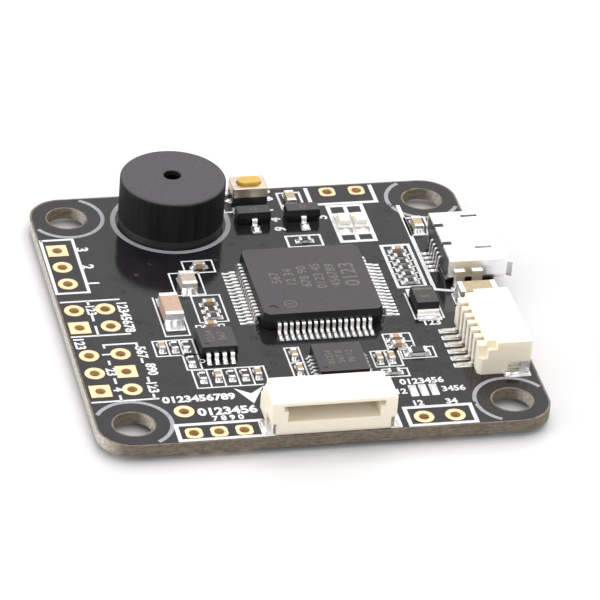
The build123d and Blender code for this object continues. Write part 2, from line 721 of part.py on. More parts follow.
def connector_tabs(count):
    """Two solder tabs of bent sheet beside the mouth: an L-shaped cheek with a window, and a foot."""
    width = (count - 1) * pin_pitch + 2 * housing_side
    sheet = 0.15
    with BuildPart() as tabs:
        for side in (-1, 1):
            cheek = side * (width / 2 - sheet / 2)
            with Locations((cheek, tab_length / 2, 0.3)):
                Box(sheet, tab_length, 0.6)
            with Locations((cheek, 0.35, tab_height / 2)):
                Box(sheet, 0.7, tab_height)
            with Locations((side * (width / 2 + 0.05), tab_length / 2, sheet / 2)):
                Box(2 * tab_inset, tab_length, sheet)
            with Locations((cheek, 1.15, 0.36)):
                Box(0.4, 0.55, 0.22, mode=Mode.SUBTRACT)
    return tabs.part


with BuildPart() as eight_pin_housing:
    with Locations(eight_pin_place):
        add(connector_housing(8))
eight_pin_housing.part.label = "eight_pin_housing"
export_step(eight_pin_housing.part, "parts/eight_pin_housing.step")

with BuildPart() as eight_pin_contacts:
    with Locations(eight_pin_place):
        add(connector_contacts(8))
eight_pin_contacts.part.label = "eight_pin_contacts"
export_step(eight_pin_contacts.part, "parts/eight_pin_contacts.step")

with BuildPart() as eight_pin_tabs:
    with Locations(eight_pin_place):
        add(connector_tabs(8))
eight_pin_tabs.part.label = "eight_pin_tabs"
export_step(eight_pin_tabs.part, "parts/eight_pin_tabs.step")

with BuildPart() as six_pin_housing:
    with Locations(six_pin_place):
        add(connector_housing(6))
six_pin_housing.part.label = "six_pin_housing"
export_step(six_pin_housing.part, "parts/six_pin_housing.step")

with BuildPart() as six_pin_contacts:
    with Locations(six_pin_place):
        add(connector_contacts(6))
six_pin_contacts.part.label = "six_pin_contacts"
export_step(six_pin_contacts.part, "parts/six_pin_contacts.step")

with BuildPart() as six_pin_tabs:
    with Locations(six_pin_place):
        add(connector_tabs(6))
six_pin_tabs.part.label = "six_pin_tabs"
export_step(six_pin_tabs.part, "parts/six_pin_tabs.step")

# ================================================================ capacitors
cap_end = 0.45

with BuildPart() as large_capacitor_body:
    with Locations(large_capacitor):
        add(core_of(large_capacitor_size, cap_end, True))
large_capacitor_body.part.label = "large_capacitor_body"
export_step(large_capacitor_body.part, "parts/large_capacitor_body.step")

with BuildPart() as large_capacitor_ends:
    with Locations(large_capacitor):
        add(ends_of(large_capacitor_size, cap_end, True))
large_capacitor_ends.part.label = "large_capacitor_ends"
export_step(large_capacitor_ends.part, "parts/large_capacitor_ends.step")

with BuildPart() as medium_capacitor_body:
    with Locations(medium_capacitor):
        add(core_of(medium_capacitor_size, cap_end, True))
medium_capacitor_body.part.label = "medium_capacitor_body"
export_step(medium_capacitor_body.part, "parts/medium_capacitor_body.step")

with BuildPart() as medium_capacitor_ends:
    with Locations(medium_capacitor):
        add(ends_of(medium_capacitor_size, cap_end, True))
medium_capacitor_ends.part.label = "medium_capacitor_ends"
export_step(medium_capacitor_ends.part, "parts/medium_capacitor_ends.step")

with BuildPart() as input_capacitor_body:
    with Locations(input_capacitor):
        add(core_of(input_capacitor_size, cap_end, False))
input_capacitor_body.part.label = "input_capacitor_body"
export_step(input_capacitor_body.part, "parts/input_capacitor_body.step")

with BuildPart() as input_capacitor_ends:
    with Locations(input_capacitor):
        add(ends_of(input_capacitor_size, cap_end, False))
input_capacitor_ends.part.label = "input_capacitor_ends"
export_step(input_capacitor_ends.part, "parts/input_capacitor_ends.step")

with BuildPart() as bypass_capacitor_bodies:
    with Locations(*bypass_capacitors):
        add(core_of(bypass_capacitor_size, 0.35, True))
bypass_capacitor_bodies.part.label = "bypass_capacitor_bodies"
export_step(bypass_capacitor_bodies.part, "parts/bypass_capacitor_bodies.step")

with BuildPart() as bypass_capacitor_ends:
    with Locations(*bypass_capacitors):
        add(ends_of(bypass_capacitor_size, 0.35, True))
bypass_capacitor_ends.part.label = "bypass_capacitor_ends"
export_step(bypass_capacitor_ends.part, "parts/bypass_capacitor_ends.step")

small_size = (chip_length, chip_width, chip_height)
with BuildPart() as small_capacitor_bodies:
    with Locations(*turned(small_capacitor_spots)):
        add(core_of(small_size, chip_end, False))
small_capacitor_bodies.part.label = "small_capacitor_bodies"
export_step(small_capacitor_bodies.part, "parts/small_capacitor_bodies.step")

with BuildPart() as small_capacitor_ends:
    with Locations(*turned(small_capacitor_spots)):
        add(ends_of(small_size, chip_end, False))
small_capacitor_ends.part.label = "small_capacitor_ends"
export_step(small_capacitor_ends.part, "parts/small_capacitor_ends.step")

# ================================================================ resistors
resistor_size = (chip_length, chip_width, resistor_height)
with BuildPart() as resistor_bodies:
    with Locations(*turned(resistor_spots)):
        add(core_of(resistor_size, chip_end, False))
    with Locations(sense_resistor):
        add(core_of(sense_resistor_size, 0.3, False))
resistor_bodies.part.label = "resistor_bodies"
export_step(resistor_bodies.part, "parts/resistor_bodies.step")

with BuildPart() as resistor_ends:
    with Locations(*turned(resistor_spots)):
        add(ends_of(resistor_size, chip_end, False))
    with Locations(sense_resistor):
        add(ends_of(sense_resistor_size, 0.3, False))
resistor_ends.part.label = "resistor_ends"
export_step(resistor_ends.part, "parts/resistor_ends.step")

# ================================================================ indicator lamps
with BuildPart() as lamp_bases:
    for x, y in lamp_spots:
        box_at(x, y, 0.0, (lamp_base_size[0] - 0.1, lamp_base_size[1] - 2 * lamp_end, lamp_base_size[2]))
lamp_bases.part.label = "lamp_bases"
export_step(lamp_bases.part, "parts/lamp_bases.step")

with BuildPart() as lamp_terminals:
    for x, y in lamp_spots:
        for side in (-1, 1):
            y_end = y + side * (lamp_base_size[1] - lamp_end) / 2
            box_at(x, y_end, 0.0, (lamp_base_size[0], lamp_end, lamp_base_size[2]))
lamp_terminals.part.label = "lamp_terminals"
export_step(lamp_terminals.part, "parts/lamp_terminals.step")

with BuildPart() as lamp_lenses:
    with BuildSketch(Plane.XY.offset(lamp_base_size[2])):
        with Locations(*lamp_spots):
            Rectangle(lamp_lens_size[0], lamp_lens_size[1])
    extrude(amount=lamp_lens_size[2], taper=6)
    fillet(lamp_lenses.edges().group_by(Axis.Z)[-1], radius=0.08)
lamp_lenses.part.label = "lamp_lenses"
export_step(lamp_lenses.part, "parts/lamp_lenses.step")

# ================================================================ underside parts
with BuildPart() as crystal_base:
    box_at(crystal_x, crystal_y, under - 0.25, (crystal_size[0], crystal_size[1], 0.25))
crystal_base.part.label = "crystal_base"
export_step(crystal_base.part, "parts/crystal_base.step")

with BuildPart() as crystal_lid:
    with BuildSketch(Plane((crystal_x, crystal_y, under - under_height))):
        RectangleRounded(crystal_size[0] - 0.3, crystal_size[1] - 0.3, 0.3)
    extrude(amount=under_height - 0.25)
crystal_lid.part.label = "crystal_lid"
export_step(crystal_lid.part, "parts/crystal_lid.step")

with BuildPart() as memory_chip_body:
    box_at(memory_x, memory_y, under - under_height, (memory_size[0], memory_size[1], under_height))
    with Locations((memory_x - 1.5, memory_y - 1.0, under - under_height)):
        Cylinder(0.2, 0.08, mode=Mode.SUBTRACT)
memory_chip_body.part.label = "memory_chip_body"
export_step(memory_chip_body.part, "parts/memory_chip_body.step")

with BuildPart() as memory_chip_terminals:
    for side in (-1, 1):
        for i in range(memory_terminals_per_side):
            along = (i - (memory_terminals_per_side - 1) / 2) * memory_pitch
            out = side * (memory_size[0] + memory_terminal[0]) / 2
            box_at(memory_x + out, memory_y + along, under - memory_terminal[2], memory_terminal)
memory_chip_terminals.part.label = "memory_chip_terminals"
export_step(memory_chip_terminals.part, "parts/memory_chip_terminals.step")

with BuildPart() as under_capacitor_bodies:
    with Locations(*turned(under_capacitor_spots, under, True)):
        add(core_of(small_size, chip_end, False))
under_capacitor_bodies.part.label = "under_capacitor_bodies"
export_step(under_capacitor_bodies.part, "parts/under_capacitor_bodies.step")

with BuildPart() as under_capacitor_ends:
    with Locations(*turned(under_capacitor_spots, under, True)):
        add(ends_of(small_size, chip_end, False))
under_capacitor_ends.part.label = "under_capacitor_ends"
export_step(under_capacitor_ends.part, "parts/under_capacitor_ends.step")

with BuildPart() as under_resistor_bodies:
    with Locations(*turned(under_resistor_spots, under, True)):
        add(core_of(resistor_size, chip_end, False))
under_resistor_bodies.part.label = "under_resistor_bodies"
export_step(under_resistor_bodies.part, "parts/under_resistor_bodies.step")

with BuildPart() as under_resistor_ends:
    with Locations(*turned(under_resistor_spots, under, True)):
        add(ends_of(resistor_size, chip_end, False))
under_resistor_ends.part.label = "under_resistor_ends"
export_step(under_resistor_ends.part, "parts/under_resistor_ends.step")
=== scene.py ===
"""Looks of the flight controller board: print, solder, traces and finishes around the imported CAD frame.

All sizes below are in millimetres in the CAD frame, and MM turns them into metres.
The origin is the centre of the four mounting holes on the board's top face.
"""
import itertools
import math
import random

import bmesh
import bpy
from mathutils import Matrix, Vector


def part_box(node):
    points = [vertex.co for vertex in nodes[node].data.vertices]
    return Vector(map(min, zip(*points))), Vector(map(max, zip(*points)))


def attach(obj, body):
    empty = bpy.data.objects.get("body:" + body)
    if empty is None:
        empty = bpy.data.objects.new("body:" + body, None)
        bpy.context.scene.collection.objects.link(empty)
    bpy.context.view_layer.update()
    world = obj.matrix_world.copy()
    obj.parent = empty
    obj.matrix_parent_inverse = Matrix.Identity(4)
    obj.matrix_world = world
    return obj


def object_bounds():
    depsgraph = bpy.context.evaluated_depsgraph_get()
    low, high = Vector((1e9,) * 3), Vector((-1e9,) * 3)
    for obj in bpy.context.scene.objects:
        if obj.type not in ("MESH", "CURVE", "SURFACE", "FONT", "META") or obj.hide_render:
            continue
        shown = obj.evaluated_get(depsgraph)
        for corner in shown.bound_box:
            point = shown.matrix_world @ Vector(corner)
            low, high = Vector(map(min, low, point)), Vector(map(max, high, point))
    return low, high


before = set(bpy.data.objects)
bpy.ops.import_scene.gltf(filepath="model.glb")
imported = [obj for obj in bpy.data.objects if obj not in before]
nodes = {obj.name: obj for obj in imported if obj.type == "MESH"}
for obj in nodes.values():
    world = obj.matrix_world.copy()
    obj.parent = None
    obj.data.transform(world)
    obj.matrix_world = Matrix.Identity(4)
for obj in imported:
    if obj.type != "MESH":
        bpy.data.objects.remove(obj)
cad_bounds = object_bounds()

MM = 0.001
BODY = "board"


def box_mm(node):
    """A CAD node's lowest and highest corners in millimetres."""
    low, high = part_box(node)
    return low / MM, high / MM


board_low, board_high = box_mm("circuit_board")
FACE = board_high.z                 # the board's top face
UNDERSIDE = board_low.z
MASK = 0.02                         # thickness of the solder mask
COPPER = 0.02                       # height that a trace adds under the mask
INK = 0.012                         # thickness of the printed lines
MASK_TOP = FACE + MASK
INK_TOP = MASK_TOP + INK
CLEAR = 0.0005                      # gap that keeps two thin layers from lying in one plane
HOLE_OFFSET = 30.5 / 2
HOLE_RADIUS = 1.6
HOLES = [(sx * HOLE_OFFSET, sy * HOLE_OFFSET) for sx in (-1, 1) for sy in (-1, 1)]


# ---------------------------------------------------------------- camera, light, floor
def make_camera():
    """A long lens in front of the board, a little to its left, rolled by a few degrees."""
    azimuth, elevation, roll = math.radians(-14.94), math.radians(32.51), math.radians(4.74)
    target, distance = Vector((1.538, 0.839, 0.0)) * MM, 370.2 * MM
    back = Vector((math.sin(azimuth) * math.cos(elevation), -math.cos(azimuth) * math.cos(elevation),
                   math.sin(elevation)))
    level = Vector((math.cos(azimuth), math.sin(azimuth), 0.0))
    above = back.cross(level)
    right = level * math.cos(roll) + above * math.sin(roll)
    up = above * math.cos(roll) - level * math.sin(roll)
    camera = bpy.data.objects.new("camera", bpy.data.cameras.new("camera"))
    camera.data.lens = 273.0
    camera.data.sensor_width = 36.0
    camera.data.clip_start = 0.01
    camera.data.clip_end = 20.0
    placed = Matrix((right, up, back)).transposed().to_4x4()
    placed.translation = target + back * distance
    camera.matrix_world = placed
    bpy.context.scene.collection.objects.link(camera)
    bpy.context.scene.camera = camera


def make_world():
    """A white studio that is brighter behind and above the board than in front of it."""
    world = bpy.data.worlds.new("studio")
    world.use_nodes = True
    bpy.context.scene.world = world
    tree = world.node_tree
    tree.nodes.clear()
    sight = tree.nodes.new("ShaderNodeTexCoord")
    facing = tree.nodes.new("ShaderNodeVectorMath")
    facing.operation = "DOT_PRODUCT"
    facing.inputs[1].default_value = Vector((0.1, 0.75, 0.65)).normalized()
    level = tree.nodes.new("ShaderNodeMapRange")
    level.interpolation_type = "SMOOTHSTEP"
    level.inputs["From Min"].default_value = -0.35
    level.inputs["From Max"].default_value = 0.55
    level.inputs["To Min"].default_value = 0.22
    level.inputs["To Max"].default_value = 1.0
    light = tree.nodes.new("ShaderNodeBackground")
    light.inputs["Color"].default_value = (1.0, 0.985, 0.99, 1.0)
    plain = tree.nodes.new("ShaderNodeBackground")
    plain.inputs["Strength"].default_value = 1.0
    path = tree.nodes.new("ShaderNodeLightPath")
    choose = tree.nodes.new("ShaderNodeMixShader")
    out = tree.nodes.new("ShaderNodeOutputWorld")
    link = tree.links.new
    link(sight.outputs["Generated"], facing.inputs[0])
    link(facing.outputs["Value"], level.inputs["Value"])
    link(level.outputs["Result"], light.inputs["Strength"])
    link(path.outputs["Is Camera Ray"], choose.inputs["Fac"])
    link(light.outputs[0], choose.inputs[1])
    link(plain.outputs[0], choose.inputs[2])
    link(choose.outputs[0], out.inputs["Surface"])


def area_light(name, place, size, power):
    """A square soft light at place, in metres, aimed at the board."""
    lamp = bpy.data.lights.new(name, "AREA")
    lamp.size = size
    lamp.energy = power
    holder = bpy.data.objects.new(name, lamp)
    holder.location = place
    holder.rotation_mode = "QUATERNION"
    holder.rotation_quaternion = (-Vector(place)).to_track_quat("-Z", "Y")
    bpy.context.scene.collection.objects.link(holder)


def make_floor(material):
    """A glossy white tabletop, just under the lowest solder joints."""
    half, gap = 1.5, 0.02 * MM
    level = cad_bounds[0].z - gap
    mesh = bpy.data.meshes.new("tabletop")
    corners = [(-half, -half, level), (half, -half, level), (half, half, level), (-half, half, level)]
    mesh.from_pydata(corners, [], [(0, 1, 2, 3)])
    mesh.materials.append(material)
    floor = bpy.data.objects.new("tabletop", mesh)
    bpy.context.scene.collection.objects.link(floor)


# ---------------------------------------------------------------- materials
UP, LEFTWARD = (0, 0, 1), (-1, 0, 0)


class Finish:
    """A Principled material whose textures are laid out in millimetres of the shared frame."""

    def __init__(self, name, color, roughness, metallic=0.0, ior=1.5):
        self.material = bpy.data.materials.new(name)
        self.material.use_nodes = True
        self.tree = self.material.node_tree
        self.shader = self.tree.nodes["Principled BSDF"]
        self.set("Base Color", (*color, 1.0))
        self.set("Roughness", roughness)
        self.set("Metallic", metallic)
        self.set("IOR", ior)
        self.coordinates = self.tree.nodes.new("ShaderNodeTexCoord").outputs

    def set(self, socket, value):
        self.shader.inputs[socket].default_value = value
        return self

    def node(self, kind, **inputs):
        made = self.tree.nodes.new(kind)
        for name, value in inputs.items():
            socket = made.inputs[name.replace("_", " ")]
            if isinstance(value, bpy.types.NodeSocket):
                self.tree.links.new(value, socket)
            else:
                socket.default_value = value
        return made

    def space(self, stretch):
        """Object coordinates in millimetres, times a stretch on each axis."""
        place, scale = self.coordinates["Object"], tuple(s / MM for s in stretch)
        return self.node("ShaderNodeMapping", Vector=place, Scale=scale).outputs["Vector"]

    def noise(self, size, stretch=(1, 1, 1), detail=3.0):
        """Noise from 0 to 1 with features of about size millimetres."""
        return self.node("ShaderNodeTexNoise", Vector=self.space(stretch), Scale=1.0 / size,
                         Detail=detail).outputs["Fac"]

    def wave(self, axis, scale, distortion):
        """Bands from 0 to 1 that follow each other along the X, Y or Z axis."""
        along = self.space([float(axis == a) for a in "XYZ"])
        made = self.node("ShaderNodeTexWave", Vector=along, Scale=scale, Distortion=distortion)
        made.bands_direction = axis
        return made.outputs["Fac"]

    def ramp(self, value, stops):
        """A colour ramp with (place, colour) stops."""
        made = self.node("ShaderNodeValToRGB", Fac=value)
        ends = made.color_ramp.elements
        while len(ends) < len(stops):
            ends.new(0.5)
        for end, (at, color) in zip(ends, stops):
            end.position = at
            end.color = (*color, 1.0)
        return made.outputs["Color"]

    def spread(self, value, low, high):
        """A 0 to 1 value spread over low to high."""
        return self.node("ShaderNodeMapRange", Value=value, To_Min=low, To_Max=high).outputs["Result"]

    def mix(self, share, first, second):
        """Blend two colour outputs: a share of 0 gives the first, 1 the second."""
        made = self.tree.nodes.new("ShaderNodeMix")
        made.data_type = "RGBA"
        share_socket, color_a, color_b = made.inputs[0], made.inputs[6], made.inputs[7]
        if isinstance(share, float):
            share_socket.default_value = share
        else:
            self.tree.links.new(share, share_socket)
        self.tree.links.new(first, color_a)
        self.tree.links.new(second, color_b)
        return made.outputs[2]

    def color(self, output):
        self.tree.links.new(output, self.shader.inputs["Base Color"])
        return self

    def rough(self, output):
        self.tree.links.new(output, self.shader.inputs["Roughness"])
        return self

    def bump(self, height, depth, strength=1.0):
        """Relief of depth millimetres from a 0 to 1 height, on top of any relief already there."""
        made = self.node("ShaderNodeBump", Height=height, Strength=strength, Distance=depth * MM)
        normal = self.shader.inputs["Normal"]
        if normal.is_linked:
            self.tree.links.new(normal.links[0].from_socket, made.inputs["Normal"])
        self.tree.links.new(made.outputs["Normal"], normal)
        return self

    def facing(self, axis, start=0.3, full=0.95):
        """A share from 0 to 1 of how squarely the surface faces along an axis of the frame."""
        turned = self.node("ShaderNodeVectorMath")
        turned.operation = "DOT_PRODUCT"
        self.tree.links.new(self.coordinates["Normal"], turned.inputs[0])
        turned.inputs[1].default_value = axis
        return self.node("ShaderNodeMapRange", Value=turned.outputs["Value"], From_Min=start,
                         From_Max=full).outputs["Result"]

    def mottle(self, size, stops, stretch=(1, 1, 1), detail=4.0):
        """Colour that drifts between the stops, in patches of about size millimetres."""
        return self.color(self.ramp(self.noise(size, stretch, detail), stops))

    def grain(self, size, depth, stretch=(1, 1, 1)):
        """Fine relief, with bumps of about size millimetres."""
        return self.bump(self.noise(size, stretch, 2.0), depth)

    def sheer(self, share, radius, reach):
        """Let a share of the light travel up to about reach millimetres under the surface."""
        self.set("Subsurface Weight", share)
        self.set("Subsurface Radius", radius)
        return self.set("Subsurface Scale", reach * MM)


def laminate():
    """Glass-epoxy board: its layers show as lines on cut edges, and the left-facing edge is painted pale, a
    painted highlight from the light on the left.
    """
    f = Finish("laminate", (0.3, 0.22, 0.12), 0.5)
    layers = f.noise(0.09, (0.12, 0.12, 1.0), 2.0)
    specks = f.noise(0.35, detail=5.0)
    tone = f.ramp(layers, [(0.3, (0.058, 0.043, 0.038)), (0.5, (0.143, 0.111, 0.087)),
                           (0.72, (0.235, 0.195, 0.135))])
    stain = f.ramp(specks, [(0.35, (0.10, 0.075, 0.055)), (0.6, (0.24, 0.195, 0.12))])
    # painted highlight: faces turned to the left get a paler colour, as if lit by the light from the left
    painted_left_highlight = f.ramp(f.noise(0.2, detail=5.0), [(0.3, (0.24, 0.21, 0.18)), (0.65, (0.62, 0.58, 0.53))])
    f.color(f.mix(f.facing(LEFTWARD, 0.4, 0.9), f.mix(0.35, tone, stain), painted_left_highlight))
    f.rough(f.spread(specks, 0.4, 0.65))
    f.bump(layers, 0.02)
    return f.grain(0.06, 0.006).material


def solder_mask():
    """Glossy black lacquer, uneven in gloss, with a faint glass weave under it."""
    f = Finish("solder_mask", (0.012, 0.011, 0.0125), 0.1)
    f.mottle(1.6, [(0.3, (0.009, 0.008, 0.0095)), (0.7, (0.016, 0.0145, 0.0165))], detail=3.0)
    f.rough(f.spread(f.noise(0.4, detail=4.0), 0.06, 0.19))
    for axis in "XY":
        f.bump(f.wave(axis, 0.75, 0.6), 0.0006)
    return f.grain(0.5, 0.0012).material


def ink():
    """White printing ink, a little thin and uneven."""
    f = Finish("printing_ink", (0.74, 0.75, 0.77), 0.55)
    f.mottle(0.12, [(0.3, (0.56, 0.57, 0.59)), (0.55, (0.76, 0.77, 0.79))])
    return f.grain(0.05, 0.004).material


def painted_shade_ink():
    """The same ink painted darker, as painted shade, for the printed rings round the holes and the buzzer.
    """
    f = Finish("painted_shade_ink", (0.33, 0.335, 0.35), 0.5)
    f.mottle(0.12, [(0.3, (0.22, 0.225, 0.235)), (0.6, (0.36, 0.365, 0.38))])
    return f.grain(0.05, 0.004).material


def laser_mark():
    """Laser marking on a chip: a warm grey a little lighter than the moulding."""
    f = Finish("laser_mark", (0.2, 0.17, 0.13), 0.6)
    f.mottle(0.1, [(0.35, (0.085, 0.075, 0.065)), (0.6, (0.19, 0.16, 0.125))])
    return f.grain(0.04, 0.004).material


def metal(name, color, roughness, grain=0.12, depth=0.003, stretch=(1, 1, 1), tint=0.82, metallic=1.0):
    """Plated or soldered metal with uneven tone, roughness and a fine surface grain."""
    f = Finish(name, color, roughness, metallic)
    f.mottle(grain * 3, [(0.3, tuple(c * tint for c in color)), (0.62, color)], stretch)
    fine = f.noise(grain, stretch)
    f.rough(f.spread(fine, roughness * 0.7, min(1.0, roughness * 1.5)))
    return f.bump(fine, depth).material


def plastic(name, color, roughness, grain=0.06, depth=0.004, tint=0.8, sheer=0.0):
    """Moulded plastic or fired ceramic with a fine grain and soft mottling. Some lets light in."""
    f = Finish(name, color, roughness)
    f.mottle(grain * 6, [(0.3, tuple(c * tint for c in color)), (0.65, color)])
    f.rough(f.spread(f.noise(grain * 2), roughness * 0.8, min(1.0, roughness * 1.25)))
    f.grain(grain, depth)
    if sheer:
        f.sheer(sheer, (0.9, 0.6, 0.35), 0.6)
    return f.material


def buzzer_plastic():
    """Matt black moulding: grainy, with faint upright drag marks round the side; the top is painted lighter
    as painted light and the side near black as painted shade.
    """
    f = Finish("buzzer_plastic", (0.06, 0.056, 0.06), 0.6, ior=1.3)
    grain = f.noise(0.1, detail=4.0)
    # painted light: the top is painted lighter than the side
    painted_lit_top = f.ramp(grain, [(0.3, (0.066, 0.061, 0.066)), (0.7, (0.098, 0.092, 0.099))])
    streaks = f.noise(0.3, (1, 1, 0.05))
    # painted shade: the side is painted near black
    painted_shaded_side = f.ramp(streaks, [(0.4, (0.004, 0.0035, 0.004)), (0.7, (0.011, 0.0095, 0.0105))])
    f.color(f.mix(f.facing(UP), painted_shaded_side, painted_lit_top))
    f.rough(f.spread(f.noise(0.3, (1, 1, 0.08)), 0.5, 0.75))
    f.bump(grain, 0.008)
    return f.grain(0.35, 0.012, (1, 1, 0.06)).material


def chip_plastic():
    """Filled black epoxy: satin with a very fine sandy grain; the sides are painted darker than the top as
    painted shade.
    """
    f = Finish("chip_plastic", (0.045, 0.042, 0.046), 0.42, ior=1.4)
    sand = f.noise(0.05)
    cloud = f.noise(0.09, detail=5.0)
    # painted light and painted shade: a lighter colour for the top and a near-black one for the sides
    top = f.ramp(cloud, [(0.3, (0.036, 0.033, 0.037)), (0.72, (0.066, 0.061, 0.065))])
    side = f.ramp(cloud, [(0.3, (0.005, 0.005, 0.005)), (0.72, (0.013, 0.012, 0.013))])
    f.color(f.mix(f.facing(UP), side, top))
    f.rough(f.spread(sand, 0.34, 0.52))
    return f.bump(sand, 0.006).material


def coil_wire():
    """Enamelled copper, wound in turns that show as fine rings."""
    f = Finish("copper_winding", (0.65, 0.28, 0.12), 0.3, metallic=1.0)
    turns = f.wave("Z", 3.0, 0.3)
    f.color(f.ramp(turns, [(0.2, (0.36, 0.13, 0.05)), (0.7, (0.72, 0.33, 0.15))]))
    return f.bump(turns, 0.03).material


def lens_resin():
    """Milky resin with a faint yellow cast, over the lamp's chip."""
    f = Finish("lens_resin", (0.93, 0.90, 0.74), 0.18)
    f.mottle(0.5, [(0.3, (0.92, 0.83, 0.52)), (0.65, (0.96, 0.95, 0.88))], detail=2.0)
    f.sheer(0.6, (0.8, 0.7, 0.5), 0.5)
    return f.grain(0.2, 0.004).material


def via_mouth():
    """The mouth of a small plated hole, painted near black as painted shade for the dark inside of the hole.
    """
    f = Finish("via_mouth", (0.004, 0.004, 0.004), 0.6)
    return f.mottle(0.1, [(0.3, (0.003, 0.003, 0.003)), (0.7, (0.02, 0.015, 0.01))], detail=3.0).material


def tabletop():
    """White glossy acrylic."""
    f = Finish("tabletop", (0.74, 0.74, 0.74), 0.14)
    return f.mottle(30.0, [(0.3, (0.73, 0.73, 0.73)), (0.7, (0.75, 0.75, 0.75))], detail=2.0).material


FINISHES = {
    "board": laminate(),
    "mask": solder_mask(),
    "ink": ink(),
    "painted_shade_ink": painted_shade_ink(),
    "mark": laser_mark(),
    "via": via_mouth(),
    "gold_plate": metal("gold_plate", (0.92, 0.71, 0.43), 0.36, grain=0.1, depth=0.004, tint=0.88,
                        metallic=0.7),
    "solder": metal("solder", (0.86, 0.86, 0.85), 0.28, grain=0.22, depth=0.01, tint=0.9),
    "tinned_lead": metal("tinned_lead", (0.93, 0.92, 0.90), 0.34, grain=0.07, depth=0.003, tint=0.9),
    "tinned_bronze": metal("tinned_bronze", (0.74, 0.70, 0.63), 0.26, grain=0.1, depth=0.004, tint=0.8),
    "tinned_end": metal("tinned_end", (0.85, 0.83, 0.80), 0.38, grain=0.12, depth=0.006, tint=0.88),
    "steel_sheet": metal("steel_sheet", (0.74, 0.74, 0.73), 0.28, grain=0.15, stretch=(0.1, 1, 1)),
    "soft_iron": metal("soft_iron", (0.56, 0.56, 0.55), 0.35, grain=0.2),
    "steel_shell": metal("steel_shell", (0.96, 0.96, 0.96), 0.3, grain=0.16, depth=0.0012,
                         stretch=(0.3, 1, 1), tint=0.95),
    "button_cover": metal("button_cover", (0.70, 0.61, 0.50), 0.38, grain=0.12, stretch=(0.2, 1, 1)),
    "magnet": plastic("ferrite", (0.07, 0.07, 0.075), 0.5, grain=0.12, depth=0.012),
    "copper_wire": coil_wire(),
    "buzzer_plastic": buzzer_plastic(),
    "chip_plastic": chip_plastic(),
    "black_plastic": plastic("black_plastic", (0.022, 0.022, 0.022), 0.4),
    "button_yellow": plastic("button_yellow", (0.70, 0.45, 0.06), 0.34, depth=0.003, tint=0.9, sheer=0.3),
    "ivory_nylon": plastic("ivory_nylon", (0.94, 0.86, 0.71), 0.42, grain=0.12, depth=0.003, tint=0.96,
                           sheer=0.35),
    "ceramic_pink": plastic("ceramic_pink", (0.53, 0.36, 0.27), 0.4, grain=0.05),
    "ceramic_grey": plastic("ceramic_grey", (0.50, 0.42, 0.35), 0.4, grain=0.05),
    "ceramic_beige": plastic("ceramic_beige", (0.50, 0.41, 0.25), 0.42, grain=0.05),
    "ceramic_brown": plastic("ceramic_brown", (0.46, 0.31, 0.19), 0.38, grain=0.05),
    "resistor_black": plastic("resistor_black", (0.03, 0.03, 0.034), 0.22, grain=0.05),
    "resistor_ceramic": plastic("resistor_ceramic", (0.8, 0.79, 0.76), 0.5, grain=0.05),
    "lamp_white": plastic("lamp_white", (0.84, 0.83, 0.78), 0.45, grain=0.06),
    "lamp_lens": lens_resin(),
}
OWN_FINISH = {"usb_contacts": "tinned_lead", "six_pin_contacts": "tinned_bronze",
              "eight_pin_contacts": "tinned_bronze"}


def dress_nodes():
    """Give every CAD node the finish that its material slot names, or its own where it has one."""
    for name, node in nodes.items():
        slots = node.data.materials
        for i, given in enumerate(slots):
            slots[i] = FINISHES[OWN_FINISH.get(name, given.name.split(".")[0])]


# ---------------------------------------------------------------- mesh helpers
def direction(a, b):
    """The unit vector from one point to another."""
    return Vector((b[0] - a[0], b[1] - a[1])).normalized()


def arc(x, y, radius, start, end, steps):
    """Points along an arc, angles in degrees."""
    turn = [math.radians(start + (end - start) * i / steps) for i in range(steps + 1)]
    return [(x + radius * math.cos(t), y + radius * math.sin(t)) for t in turn]


def circle(x, y, radius, steps):
    return arc(x, y, radius, 0, 360, steps)[:-1]


def rounded(x0, y0, x1, y1, radius, steps=6):
    """A rectangle with rounded corners, counterclockwise."""
    points = []
    for cx, cy, start in ((x1 - radius, y1 - radius, 0), (x0 + radius, y1 - radius, 90),
                          (x0 + radius, y0 + radius, 180), (x1 - radius, y0 + radius, 270)):
        points += arc(cx, cy, radius, start, start + 90, steps)
    return points


